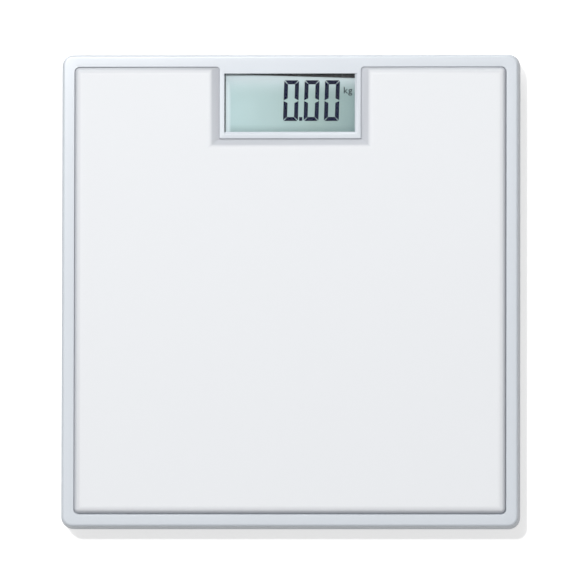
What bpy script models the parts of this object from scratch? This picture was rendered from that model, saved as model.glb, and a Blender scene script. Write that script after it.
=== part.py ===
"""A flat electronic bathroom scale, modelled piece by piece as it comes apart on a bench.

Metres, +Z up. The origin is on the floor under the middle of the platform. The display is at +Y,
and the user stands on the tread facing it from -Y. The heights stack up from the floor: feet,
load cells, steel chassis, the deck's ribs, the deck, and the tread mat on top.
"""

import math

import bmesh
import bpy
from mathutils import Matrix, Vector

MM = 0.001

# Clearances that every piece shares
GAP = 0.3 * MM
SLIDE_GAP = 0.7 * MM
LEAD_GAP = 0.5 * MM
OVERRUN = 1.2 * MM
EMBED = 0.8 * MM
MERGE = 0.001 * MM

# Platform moulding: rim, deck and display bezel in one
WIDTH = 315 * MM
DEPTH = 326 * MM
CORNER_RADIUS = 8 * MM
SKIRT_DRAFT = 1.0 * MM
SKIRT_WALL = 2.4 * MM
TOP_FILLET = 2.5 * MM
RIM_INSET = 9.15 * MM
RECESS_RADIUS = 3.5 * MM
RECESS_DEPTH = 2.6 * MM
DECK_WALL = 2.2 * MM
PLATEAU_RISE = 2.0 * MM
PLATEAU_INSET = 4.5 * MM
PLATEAU_NOTCH_INSET = 8.0 * MM
RIB_HEIGHT = 10.3 * MM
RIB_WALL = 1.6 * MM
RIB_PITCH = 44 * MM

# Display: the bezel's window, and what is stacked under it
WINDOW_WIDTH = 91 * MM
WINDOW_DEPTH = 41.5 * MM
WINDOW_RADIUS = 0.5 * MM
WINDOW_CHAMFER = 1.3 * MM
BEZEL_BORDER = 3.0 * MM
BEZEL_REAR = 5.4 * MM
BEZEL_WALL = 1.6 * MM
BEZEL_RADIUS = 0.6 * MM
BEZEL_ROOT_RADIUS = 2.0 * MM
LENS_LAP = 1.1 * MM
LENS_THICKNESS = 1.5 * MM
GASKET_THICKNESS = 1.0 * MM
GASKET_BAND = 2.2 * MM
PANEL_MARGIN_X = 1.4 * MM
PANEL_MARGIN_Y = 1.15 * MM
PANEL_LEDGE = 3.0 * MM
PANEL_FRONT_GLASS = 1.1 * MM
PANEL_REAR_GLASS = 1.7 * MM
HOLDER_WALL = 2.0 * MM
HOLDER_SHELF = 3.0 * MM
STRIP_WIDTH = 2.0 * MM
STRIP_END = 1.5 * MM

# Circuit board and what is soldered to its underside
BOARD_DROP = 3.2 * MM
BOARD_THICKNESS = 1.6 * MM
BOARD_LIP = 1.5 * MM
BOARD_ROOM = 2.0 * MM
STAKE_INSET_X = 3.2 * MM
STAKE_INSET_Y = 4.5 * MM
STAKE_POST_RADIUS = 2.2 * MM
STAKE_PIN_RADIUS = 1.0 * MM
STAKE_HEAD_RADIUS = 1.9 * MM
STAKE_HEAD_HEIGHT = 1.2 * MM
CHIP_RADIUS = 8 * MM
CHIP_HEIGHT = 1.8 * MM
CHIP_X = -6 * MM
CHIP_INSET_Y = 20 * MM
CRYSTAL_LENGTH = 11 * MM
CRYSTAL_WIDTH = 4.6 * MM
CRYSTAL_HEIGHT = 3.5 * MM
CRYSTAL_INSET_X = 30 * MM
CRYSTAL_INSET_Y = 14 * MM
CAPACITOR_RADIUS = 2.5 * MM
CAPACITOR_HEIGHT = 7 * MM
CAPACITOR_CHAMFER = 0.4 * MM
CAPACITOR_INSET_X = 18 * MM
CAPACITOR_INSET_Y = 26 * MM
SWITCH_SIZE = 6.6 * MM
SWITCH_HEIGHT = 3.2 * MM
SWITCH_WELL = 2.3 * MM
PLUNGER_RADIUS = 1.7 * MM
PLUNGER_STAND = 1.5 * MM
PLUNGER_LENGTH = 2.6 * MM

# Unit button, in the base under the push switch
BUTTON_INSET_X = 26 * MM
BUTTON_INSET_Y = 24 * MM
BUTTON_RADIUS = 5 * MM
BUTTON_PROUD = 0.5 * MM
BUTTON_DISH = 0.4 * MM
BUTTON_EDGE = 0.5 * MM
BUTTON_FLANGE_WIDTH = 1.6 * MM
BUTTON_FLANGE_THICKNESS = 1.0 * MM
BUTTON_STEM_RADIUS = 2.2 * MM

# Base cover
STAND_HEIGHT = 6 * MM
BASE_WALL = 2.2 * MM
BASE_SIDE_WALL = 2.0 * MM
BASE_FILLET = 3 * MM
SKIRT_LIFT = 5 * MM
SKIRT_LAP = 3 * MM
GUIDE_WALL = 1.5 * MM
GUIDE_HEIGHT = 2.8 * MM
PILLAR_RADIUS = 3 * MM
PILLAR_X = 80 * MM
PILLAR_Y = 68 * MM

# Feet, each on its own load cell
FOOT_INSET = 38 * MM
FOOT_RADIUS = 19 * MM
FOOT_LIP = 0.8 * MM
FOOT_FLANGE_WIDTH = 2.5 * MM
FOOT_FLANGE_THICKNESS = 1.2 * MM
FOOT_BOSS_RADIUS = 5 * MM
FOOT_BOSS_RISE = 2.3 * MM
FOOT_CORE_WALL = 2.0 * MM
FOOT_WEB = 2.2 * MM
PAD_BORDER = 3 * MM
PAD_THICKNESS = 2.2 * MM
PAD_CHAMFER = 0.5 * MM

# Load cells and their holders
CELL_SIZE = 34 * MM
CELL_THICKNESS = 1.2 * MM
CELL_RADIUS = 2 * MM
CELL_FRAME = 4.5 * MM
CELL_SLOT = 2.4 * MM
CELL_TONGUE = 12 * MM
CELL_ROOT = 8 * MM
COAT_LENGTH = 10 * MM
COAT_WIDTH = 5 * MM
COAT_HEIGHT = 0.9 * MM
COAT_SLOPE = 0.5 * MM
CELL_HOLDER_WALL = 2.0 * MM
SEAT_THICKNESS = 2.9 * MM
PEG_RADIUS = 1.5 * MM
PEG_INSET = 3.2 * MM

# Pressed steel chassis, an inverted tray with turned-down sides
CHASSIS_MARGIN = 5.7 * MM
CHASSIS_THICKNESS = 1.2 * MM
CHASSIS_FLANGE = 5 * MM
CHASSIS_BEND = 2 * MM
CHASSIS_ROOM = 1.2 * MM

# Base screws
SCREW_RADIUS = 1.45 * MM
SCREW_HEAD_RADIUS = 3.2 * MM
SCREW_HEAD_HEIGHT = 2.2 * MM
SCREW_HEAD_EDGE = 0.6 * MM
SCREW_LENGTH = 11.5 * MM
SCREW_TIP = 0.8 * MM
SCREW_RECESS = 0.3 * MM
SCREW_WEB = 1.8 * MM
SCREW_BOSS_WALL = 2.0 * MM
SCREW_END_INSET_Y = 23 * MM
SCREW_SIDE_INSET_X = 27.5 * MM

# Cells, their bay in the base cover and their contacts
CELL_COUNT = 4
BATTERY_RADIUS = 5.25 * MM
BATTERY_LENGTH = 44.5 * MM
BATTERY_NUB_RADIUS = 1.9 * MM
BATTERY_NUB_LENGTH = 0.9 * MM
BATTERY_EDGE = 0.5 * MM
BATTERY_RIM_DEPTH = 0.3 * MM
BATTERY_APART = 0.7 * MM
BATTERY_LIFT = 0.75 * MM
BAY_FRONT = 4 * MM
BAY_CLEARANCE = 0.25 * MM
BAY_WALL = 2.0 * MM
BAY_ROOF = 1.5 * MM
CONTACT_THICKNESS = 0.5 * MM
CONTACT_WIDTH = 9.2 * MM
CONTACT_HEIGHT = 9 * MM
DIMPLE_RADIUS = 2.2 * MM
DIMPLE_TOP_RADIUS = 1.2 * MM
DIMPLE_HEIGHT = 0.8 * MM
SPRING_LENGTH = 4.5 * MM
SPRING_WIRE = 0.3 * MM
SPRING_FOOT_RADIUS = 3.7 * MM
SPRING_TIP_RADIUS = 1.7 * MM
SPRING_TURNS = 3

# Battery door, with its barrel hinge at the front
DOOR_THICKNESS = 2.0 * MM
DOOR_MARGIN = 4.5 * MM
DOOR_RADIUS = 2 * MM
DOOR_LEDGE = 3.5 * MM
LEDGE_THICKNESS = 2.0 * MM
BARREL_RADIUS = 1.7 * MM
BARREL_GAP = 0.4 * MM
PIN_RADIUS = 0.9 * MM
PIN_LENGTH = 2.2 * MM
HINGE_WALL = 3.6 * MM
LATCH_WIDTH = 12 * MM
LATCH_THICKNESS = 1.4 * MM
LATCH_HEIGHT = 1.7 * MM
LATCH_INSET = 0.4 * MM
SCOOP_RADIUS = 8 * MM
SCOOP_DEPTH = 1.2 * MM

# Leads held inside the housing
CELL_LEAD_RADIUS = 0.8 * MM
BATTERY_LEAD_RADIUS = 0.7 * MM
LEAD_LEVEL = 14.7 * MM
LEAD_BEND = 7 * MM
LEAD_LANE_REACH = 59.5 * MM
LEAD_PAD_REAR_INSET_X = 7 * MM
LEAD_PAD_FRONT_INSET_X = 14 * MM
LEAD_PAD_REAR_INSET_Y = 12 * MM
LEAD_PAD_FRONT_INSET_Y = 5 * MM

# Tread mat
MAT_STAND = 1.4 * MM
MAT_EDGE_RADIUS = 3.0 * MM
MAT_SLOPE_SIDE = 6.2 * MM
MAT_SLOPE_FRONT = 5.4 * MM
MAT_WALL = 0.7 * MM

# Facets
CORNER_STEPS = 5
FILLET_STEPS = 4
ROUND_STEPS = 20
GUIDE_STEPS = 16
SMALL_STEPS = 12
TINY_STEPS = 8
CRADLE_STEPS = 7
SPRING_POINTS_PER_TURN = 8
SMOOTH_ANGLE = math.radians(35)

# Finishes: colour, roughness, metallic
PEARL_ABS = ("#EFF1F4", 0.30, 0.0)
TREAD_RUBBER = ("#ECEEF2", 0.62, 0.0)
CLEAR_ACRYLIC = ("#DDEBE8", 0.06, 0.0)
PANEL_GLASS = ("#B4CBC9", 0.20, 0.0)
BLACK_FOAM = ("#1B1B1E", 0.90, 0.0)
BOARD_LAMINATE = ("#1F5A3C", 0.45, 0.0)
BLACK_EPOXY = ("#141416", 0.35, 0.0)
GREY_RUBBER = ("#7E8388", 0.80, 0.0)
BLACK_RUBBER = ("#232427", 0.80, 0.0)
NATURAL_ABS = ("#D9DBDD", 0.45, 0.0)
BASE_ABS = ("#E3E5E8", 0.42, 0.0)
ZINC_STEEL = ("#B9BDC1", 0.38, 1.0)
CELL_STEEL = ("#A8ACB0", 0.32, 1.0)
NICKEL = ("#C9C7C0", 0.25, 1.0)
WHITE_SILICONE = ("#F2F2EE", 0.50, 0.0)
CELL_SLEEVE = ("#3C4650", 0.35, 0.0)
RED_PVC = ("#B22A24", 0.50, 0.0)
BLACK_PVC = ("#1D1D1F", 0.50, 0.0)
GREY_PVC = ("#8F9499", 0.50, 0.0)

# Heights, from the floor up
Z_BASE = STAND_HEIGHT
Z_FLOOR = Z_BASE + BASE_WALL
Z_FLANGE = Z_FLOOR + GAP
Z_FLANGE_TOP = Z_FLANGE + FOOT_FLANGE_THICKNESS
Z_FOOT_TOP = Z_FLANGE_TOP + FOOT_BOSS_RISE
Z_CELL = Z_FOOT_TOP + GAP
Z_CELL_TOP = Z_CELL + CELL_THICKNESS
Z_SEAT = Z_CELL_TOP + GAP
Z_HOLDER_TOP = Z_SEAT + SEAT_THICKNESS
Z_CHASSIS = Z_HOLDER_TOP + GAP
Z_CHASSIS_TOP = Z_CHASSIS + CHASSIS_THICKNESS
Z_RIBS = Z_CHASSIS_TOP + GAP
Z_DECK = Z_RIBS + RIB_HEIGHT
Z_MOAT = Z_DECK + DECK_WALL
Z_PLATEAU = Z_MOAT + PLATEAU_RISE
Z_RIM = Z_MOAT + RECESS_DEPTH
Z_MAT_SKIRT = Z_MOAT + GAP
Z_MAT_SHEET = Z_PLATEAU + GAP
Z_TOP = Z_RIM + MAT_STAND
Z_SKIRT = Z_BASE + SKIRT_LIFT
Z_BASE_TOP = Z_SKIRT + SKIRT_LAP
Z_FILLET = Z_RIM - TOP_FILLET

Z_LENS_TOP = Z_RIM - DECK_WALL - GAP
Z_LENS = Z_LENS_TOP - LENS_THICKNESS
Z_GASKET_TOP = Z_LENS - GAP
Z_GASKET = Z_GASKET_TOP - GASKET_THICKNESS
Z_PANEL_TOP = Z_GASKET - GAP
Z_PANEL_LEDGE = Z_PANEL_TOP - PANEL_FRONT_GLASS
Z_PANEL = Z_PANEL_LEDGE - PANEL_REAR_GLASS
Z_BOARD_TOP = Z_PANEL - BOARD_DROP
Z_BOARD = Z_BOARD_TOP - BOARD_THICKNESS
Z_PARTS = Z_BOARD - GAP
Z_SWITCH = Z_PARTS - SWITCH_HEIGHT
Z_PLUNGER = Z_SWITCH - PLUNGER_STAND

Z_DOOR_TOP = Z_BASE + DOOR_THICKNESS
Z_LEDGE = Z_DOOR_TOP + GAP
Z_LEDGE_TOP = Z_LEDGE + LEDGE_THICKNESS
Z_HINGE = Z_BASE + BARREL_RADIUS
Z_BATTERY = Z_DOOR_TOP + BATTERY_LIFT + BATTERY_RADIUS
Z_BAY = Z_BATTERY + BATTERY_RADIUS + BAY_CLEARANCE
Z_BAY_TOP = Z_BAY + BAY_ROOF

# Places in plan
RECESS_X = WIDTH / 2 - RIM_INSET
RECESS_Y = DEPTH / 2 - RIM_INSET
BEZEL_X = WINDOW_WIDTH / 2 + BEZEL_BORDER
WINDOW_Y = RECESS_Y - BEZEL_REAR - WINDOW_DEPTH / 2
BEZEL_Y = WINDOW_Y - WINDOW_DEPTH / 2 - BEZEL_BORDER
LENS_X = WINDOW_WIDTH / 2 + LENS_LAP
LENS_Y = WINDOW_DEPTH / 2 + LENS_LAP
PANEL_X = LENS_X + PANEL_MARGIN_X
PANEL_Y = LENS_Y + PANEL_MARGIN_Y
HOLDER_X = PANEL_X + GAP + HOLDER_WALL
HOLDER_Y = PANEL_Y + GAP + HOLDER_WALL
STAKE_X = HOLDER_X + GAP + STAKE_POST_RADIUS
BOARD_X = STAKE_X + STAKE_INSET_X
BOARD_Y = HOLDER_Y + BOARD_LIP
BOARD_FRONT = WINDOW_Y - BOARD_Y
NOTCH_X = BOARD_X + 2 * BOARD_ROOM
BUTTON_X = BOARD_X - BUTTON_INSET_X
BUTTON_Y = BOARD_FRONT + BUTTON_INSET_Y
FOOT_X = WIDTH / 2 - FOOT_INSET
FOOT_Y = DEPTH / 2 - FOOT_INSET
FOOT_ROOM = FOOT_RADIUS + FOOT_FLANGE_WIDTH + SLIDE_GAP
PAD_RADIUS = FOOT_RADIUS - PAD_BORDER
COAT_Y = CELL_SIZE / 2 - CELL_FRAME - COAT_WIDTH / 2 - GAP
CELL_HOLDER_HALF = CELL_SIZE / 2 + GAP + CELL_HOLDER_WALL
CHASSIS_X = FOOT_X + CELL_HOLDER_HALF + CHASSIS_MARGIN
CHASSIS_Y = FOOT_Y + CELL_HOLDER_HALF + CHASSIS_MARGIN

BATTERY_PITCH = 2 * BATTERY_RADIUS + BATTERY_APART
BATTERY_ROOM = GAP + DIMPLE_HEIGHT + BATTERY_LENGTH + GAP + SPRING_LENGTH
SLOT_DEPTH = CONTACT_THICKNESS + 2 * GAP
BAY_LENGTH = BATTERY_ROOM + 2 * CONTACT_THICKNESS + 2 * GAP
BAY_REAR = BAY_FRONT + BAY_LENGTH
BAY_X = BATTERY_PITCH * (CELL_COUNT - 1) / 2 + BATTERY_RADIUS + BAY_CLEARANCE
BLOCK_X = BAY_X + BAY_WALL
BLOCK_FRONT = BAY_FRONT - BAY_WALL
BLOCK_REAR = BAY_REAR + BAY_WALL
HINGE_Y = BAY_FRONT - BARREL_RADIUS - BARREL_GAP - BAY_WALL
DOOR_X = BAY_X + DOOR_MARGIN
DOOR_REAR = BAY_REAR + DOOR_LEDGE
POCKET_X = DOOR_X + GAP
POCKET_REAR = DOOR_REAR + GAP
POCKET_FRONT = HINGE_Y - BARREL_RADIUS - BARREL_GAP
BATTERY_XS = [BATTERY_PITCH * (index - (CELL_COUNT - 1) / 2) for index in range(CELL_COUNT)]

CORNERS = {
    "front_left": (-1, -1),
    "front_right": (1, -1),
    "rear_left": (-1, 1),
    "rear_right": (1, 1),
}
SCREW_END_X = (NOTCH_X + FOOT_X - FOOT_ROOM - GUIDE_WALL) / 2
SCREW_SPOTS = [
    (side * SCREW_END_X, end * (DEPTH / 2 - SCREW_END_INSET_Y))
    for end in (-1, 1)
    for side in (-1, 1)
] + [(side * (WIDTH / 2 - SCREW_SIDE_INSET_X), 0) for side in (-1, 1)]
PILLAR_SPOTS = [(side * PILLAR_X, end * PILLAR_Y) for end in (-1, 1) for side in (-1, 1)]
STAKE_SPOTS = [
    (side * STAKE_X, WINDOW_Y + end * (BOARD_Y - STAKE_INSET_Y))
    for end in (-1, 1)
    for side in (-1, 1)
]


# Outlines

def rectangle(half_x, half_y, centre_y=0):
    """The four corners of a rectangle, anticlockwise."""
    signs = ((-1, -1), (1, -1), (1, 1), (-1, 1))
    return [Vector((x * half_x, centre_y + y * half_y)) for x, y in signs]


def rounded(corners, radii, steps=CORNER_STEPS):
    """An outline whose corners each turn on their own radius, in steps + 1 points."""
    points = []
    for index, corner in enumerate(corners):
        back = (corners[index - 1] - corner).normalized()
        ahead = (corners[(index + 1) % len(corners)] - corner).normalized()
        half_angle = back.angle(ahead) / 2
        reach = radii[index] / math.tan(half_angle)
        centre = corner + (back + ahead).normalized() * (radii[index] / math.sin(half_angle))
        start = corner + back * reach - centre
        end = corner + ahead * reach - centre
        turn = math.atan2(start.x * end.y - start.y * end.x, start.dot(end))
        for step in range(steps + 1):
            points.append(centre + Matrix.Rotation(turn * step / steps, 2) @ start)
    return points


def rounded_rectangle(half_x, half_y, radius, centre_y=0):
    return rounded(rectangle(half_x, half_y, centre_y), [radius] * 4)


def tread_outline(inset, notch_side, notch_front):
    """The tread's U shape: its outer edge drawn in, and its notch for the bezel drawn out."""
    x, y = RECESS_X - inset, RECESS_Y - inset
    side, front = BEZEL_X + notch_side, BEZEL_Y - notch_front
    corners = [(-x, -y), (x, -y), (x, y), (side, y), (side, front), (-side, front), (-side, y), (-x, y)]
    outer = max(RECESS_RADIUS - inset, BEZEL_RADIUS)
    radii = [outer, outer, outer, BEZEL_ROOT_RADIUS, BEZEL_RADIUS, BEZEL_RADIUS, BEZEL_ROOT_RADIUS, outer]
    return rounded([Vector(corner) for corner in corners], radii)


def shell_outline(inset, z):
    """The platform's outer wall at height z, drawn in by inset."""
    lean = SKIRT_DRAFT * (min(z, Z_FILLET) - Z_SKIRT) / (Z_FILLET - Z_SKIRT) + inset
    return rounded_rectangle(WIDTH / 2 - lean, DEPTH / 2 - lean, max(CORNER_RADIUS - inset, RECESS_RADIUS))


def at(outline, z):
    """The outline's points at height z."""
    return [(point[0], point[1], z) for point in outline]


# Solids

def loft(bm, rings):
    """Skins a run of closed outlines of equal counts, point to point, and closes both ends."""
    loops = [[bm.verts.new(point) for point in ring] for ring in rings]
    for lower, upper in zip(loops, loops[1:]):
        for index in range(len(lower)):
            bm.faces.new((lower[index - 1], lower[index], upper[index], upper[index - 1]))
    bm.faces.new(loops[0][::-1])
    bm.faces.new(loops[-1])


def prism(bm, outline, low, high):
    loft(bm, [at(outline, low), at(outline, high)])


def box(bm, low, high):
    size = Vector(high) - Vector(low)
    centre = (Vector(high) + Vector(low)) / 2
    place = Matrix.Translation(centre) @ Matrix.Diagonal((*size, 1))
    bmesh.ops.create_cube(bm, size=1, matrix=place)


def turned(bm, profile, place=None, steps=ROUND_STEPS):
    """Spins a profile of (radius, height) points about the place's own Z axis.

    It runs from the axis to the axis, or ends on its first point.
    """
    place = place or Matrix()
    verts = [bm.verts.new(place @ Vector((radius, 0, height))) for radius, height in profile]
    edges = [bm.edges.new(pair) for pair in zip(verts, verts[1:])]
    bmesh.ops.spin(
        bm,
        geom=verts + edges,
        cent=place.translation,
        axis=place.to_3x3() @ Vector((0, 0, 1)),
        angle=math.tau,
        steps=steps,
        use_merge=True,
    )


def cylinder(bm, radius, low, high, spot=(0, 0), steps=ROUND_STEPS):
    profile = [(0, low), (radius, low), (radius, high), (0, high)]
    turned(bm, profile, Matrix.Translation((*spot, 0)), steps)


def ring(bm, inner, outer, low, high, spot=(0, 0)):
    profile = [(inner, low), (outer, low), (outer, high), (inner, high), (inner, low)]
    turned(bm, profile, Matrix.Translation((*spot, 0)), GUIDE_STEPS)


def along_x(y, z):
    """A place whose Z axis runs along +X through (y, z)."""
    return Matrix.Translation((0, y, z)) @ Matrix.Rotation(math.pi / 2, 4, "Y")


def along_y(x, z, towards=1):
    """A place whose Z axis runs along +Y through (x, z), or along -Y."""
    return Matrix.Translation((x, 0, z)) @ Matrix.Rotation(-towards * math.pi / 2, 4, "X")


def arc(radius, centre, start, end, steps=FILLET_STEPS):
    """Points on an arc, in degrees from the first axis."""
    angles = [math.radians(start + (end - start) * step / steps) for step in range(steps + 1)]
    return [(centre[0] + radius * math.cos(a), centre[1] + radius * math.sin(a)) for a in angles]


def to_mesh(name, build):
    """A mesh made by the build function, welded and with its faces turned out."""
    bm = bmesh.new()
    build(bm)
    bmesh.ops.remove_doubles(bm, verts=bm.verts[:], dist=MERGE)
    bmesh.ops.recalc_face_normals(bm, faces=bm.faces[:])
    mesh = bpy.data.meshes.new(name)
    bm.to_mesh(mesh)
    bm.free()
    mesh.shade_smooth()
    mesh.set_sharp_from_angle(angle=SMOOTH_ANGLE)
    return mesh


def linear(value):
    """One sRGB channel, 0 to 1, as linear light."""
    return value / 12.92 if value <= 0.04045 else ((value + 0.055) / 1.055) ** 2.4


def paint(mesh, finish):
    """Gives the mesh a material of its own."""
    colour, roughness, metallic = finish
    material = bpy.data.materials.new(mesh.name)
    material.use_nodes = True
    shader = material.node_tree.nodes["Principled BSDF"]
    channels = [linear(int(colour[start : start + 2], 16) / 255) for start in (1, 3, 5)]
    shader.inputs["Base Color"].default_value = (*channels, 1)
    shader.inputs["Roughness"].default_value = roughness
    shader.inputs["Metallic"].default_value = metallic
    material.diffuse_color = (*channels, 1)
    mesh.materials.append(material)


def place_object(name, mesh, place=(0, 0, 0), parent=None):
    """Puts a mesh in the scene as one named piece."""
    piece = bpy.data.objects.new(name, mesh)
    bpy.context.scene.collection.objects.link(piece)
    piece.parent = parent
    piece.location = place
    return piece


def piece_of(name, finish, build, place=(0, 0, 0), parent=None):
    mesh = to_mesh(name, build)
    paint(mesh, finish)
    return place_object(name, mesh, place, parent)


def combine(piece, operation, label, mesh):
    """Adds a Boolean whose tool is a hidden object that holds the mesh."""
    tool = place_object(f"{piece.name}_{label}", mesh, piece.location)
    tool.hide_render = True
    tool.display_type = "WIRE"
    modifier = piece.modifiers.new(label, "BOOLEAN")
    modifier.operation = operation
    modifier.object = tool


def cut(piece, label, build):
    combine(piece, "DIFFERENCE", label, to_mesh(f"{piece.name}_{label}", build))


def join(piece, label, build):
    combine(piece, "UNION", label, to_mesh(f"{piece.name}_{label}", build))


# Platform

def platform_frame():
    """Rim, deck and bezel in one moulding, ribbed underneath and open below."""

    def outer(bm):
        fillet = arc(TOP_FILLET, (TOP_FILLET, Z_FILLET), 180, 90)
        rings = [at(shell_outline(0, Z_SKIRT), Z_SKIRT)]
        rings += [at(shell_outline(inset, z), z) for inset, z in fillet]
        loft(bm, rings)

    def cavity(bm):
        groove_top = Z_RIM - DECK_WALL
        low = Z_SKIRT - OVERRUN
        core = rounded_rectangle(RECESS_X + DECK_WALL, RECESS_Y + DECK_WALL, RECESS_RADIUS)
        wall = [at(shell_outline(SKIRT_WALL, z), z) for z in (low, groove_top)]
        loft(bm, wall + [at(core, groove_top), at(core, Z_RIBS)])

    def cells(bm):
        columns = max(round(2 * RECESS_X / RIB_PITCH), 1)
        rows = max(round(2 * RECESS_Y / RIB_PITCH), 1)
        step_x, step_y = 2 * RECESS_X / columns, 2 * RECESS_Y / rows
        for column in range(columns):
            for row in range(rows):
                x = -RECESS_X + step_x * (column + 0.5)
                y = -RECESS_Y + step_y * (row + 0.5)
                inner = 0 < column < columns - 1 and 0 < row < rows - 1
                by_bezel_x = abs(x) - step_x / 2 < BEZEL_X + PLATEAU_NOTCH_INSET
                by_bezel_y = y + step_y / 2 > BEZEL_Y - PLATEAU_NOTCH_INSET
                raised = inner and not (by_bezel_x and by_bezel_y)
                ceiling = Z_DECK + PLATEAU_RISE if raised else Z_DECK
                half = Vector((step_x / 2 - RIB_WALL / 2, step_y / 2 - RIB_WALL / 2))
                low = (x - half.x, y - half.y, Z_RIBS - OVERRUN)
                box(bm, low, (x + half.x, y + half.y, ceiling))

    def recess(bm):
        plateau = tread_outline(PLATEAU_INSET, PLATEAU_NOTCH_INSET, PLATEAU_NOTCH_INSET)
        rim = tread_outline(0, 0, 0)
        top = Z_RIM + OVERRUN
        loft(bm, [at(plateau, Z_PLATEAU), at(plateau, Z_MOAT), at(rim, Z_MOAT), at(rim, top)])

    def electronics(bm):
        half_x = BOARD_X + BOARD_ROOM
        low = (-half_x, BOARD_FRONT - BOARD_ROOM, Z_RIBS - 2 * OVERRUN)
        box(bm, low, (half_x, RECESS_Y + DECK_WALL + OVERRUN, Z_DECK))

    def battery_room(bm):
        x = BLOCK_X + CHASSIS_ROOM + RIB_WALL
        low = (-x, BLOCK_FRONT - CHASSIS_ROOM - RIB_WALL, Z_RIBS - 2 * OVERRUN)
        box(bm, low, (x, BLOCK_REAR + CHASSIS_ROOM + RIB_WALL, Z_BAY_TOP + CHASSIS_ROOM))

    def lens_seat(bm):
        outline = rounded_rectangle(LENS_X + GAP, LENS_Y + GAP, WINDOW_RADIUS, WINDOW_Y)
        prism(bm, outline, Z_DECK - OVERRUN, Z_RIM - DECK_WALL)

    def window(bm):
        def opening(inset, z):
            half_x, half_y = WINDOW_WIDTH / 2 - inset, WINDOW_DEPTH / 2 - inset
            return at(rounded_rectangle(half_x, half_y, WINDOW_RADIUS, WINDOW_Y), z)

        throat = WINDOW_CHAMFER
        loft(bm, [
            opening(throat, Z_RIM - DECK_WALL - OVERRUN),
            opening(throat, Z_RIM - WINDOW_CHAMFER),
            opening(-OVERRUN, Z_RIM + OVERRUN),
        ])

    def bosses(bm):
        radius = SCREW_RADIUS + GAP + SCREW_BOSS_WALL
        for spot in SCREW_SPOTS:
            cylinder(bm, radius, boss_top() + GAP, Z_DECK + EMBED, spot, TINY_STEPS)

    def stakes(bm):
        head_low = Z_PARTS - STAKE_HEAD_HEIGHT
        profile = [
            (0, head_low),
            (STAKE_HEAD_RADIUS, Z_PARTS - STAKE_HEAD_HEIGHT / 2),
            (STAKE_HEAD_RADIUS, Z_PARTS),
            (STAKE_PIN_RADIUS, Z_PARTS),
            (STAKE_PIN_RADIUS, Z_BOARD_TOP + GAP),
            (STAKE_POST_RADIUS, Z_BOARD_TOP + GAP),
            (STAKE_POST_RADIUS, Z_DECK + EMBED),
            (0, Z_DECK + EMBED),
        ]
        for spot in STAKE_SPOTS:
            turned(bm, profile, Matrix.Translation((*spot, 0)), TINY_STEPS)

    def pilot_holes(bm):
        high = screw_seat() + SCREW_LENGTH + OVERRUN
        for spot in SCREW_SPOTS:
            cylinder(bm, SCREW_RADIUS + GAP, boss_top() - OVERRUN, high, spot, TINY_STEPS)

    frame = piece_of("platform_frame", PEARL_ABS, outer)
    cut(frame, "cavity", cavity)
    cut(frame, "rib_cells", cells)
    cut(frame, "tread_recess", recess)
    cut(frame, "electronics_room", electronics)
    cut(frame, "battery_room", battery_room)
    cut(frame, "lens_seat", lens_seat)
    cut(frame, "window", window)
    join(frame, "screw_bosses", bosses)
    join(frame, "board_stakes", stakes)
    cut(frame, "pilot_holes", pilot_holes)


def tread_mat():
    """A rubber sheet with rounded edges and a skirt in the deck's moat, sloped down to the bezel."""
    slope_low = Z_TOP - MAT_EDGE_RADIUS
    under = tread_outline(PLATEAU_INSET - GAP, PLATEAU_NOTCH_INSET - GAP, PLATEAU_NOTCH_INSET - GAP)

    def edge(inset, z):
        share = max((z - slope_low) / MAT_EDGE_RADIUS, 0)
        return at(tread_outline(GAP + inset, GAP + MAT_SLOPE_SIDE * share, GAP + MAT_SLOPE_FRONT * share), z)

    def build(bm):
        rings = [at(under, Z_MAT_SHEET), at(under, Z_MAT_SKIRT), edge(0, Z_MAT_SKIRT)]
        rings += [edge(inset, z) for inset, z in arc(MAT_EDGE_RADIUS, (MAT_EDGE_RADIUS, slope_low), 180, 90)]
        loft(bm, rings)

    piece_of("tread_mat", TREAD_RUBBER, build)


# Display

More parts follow.
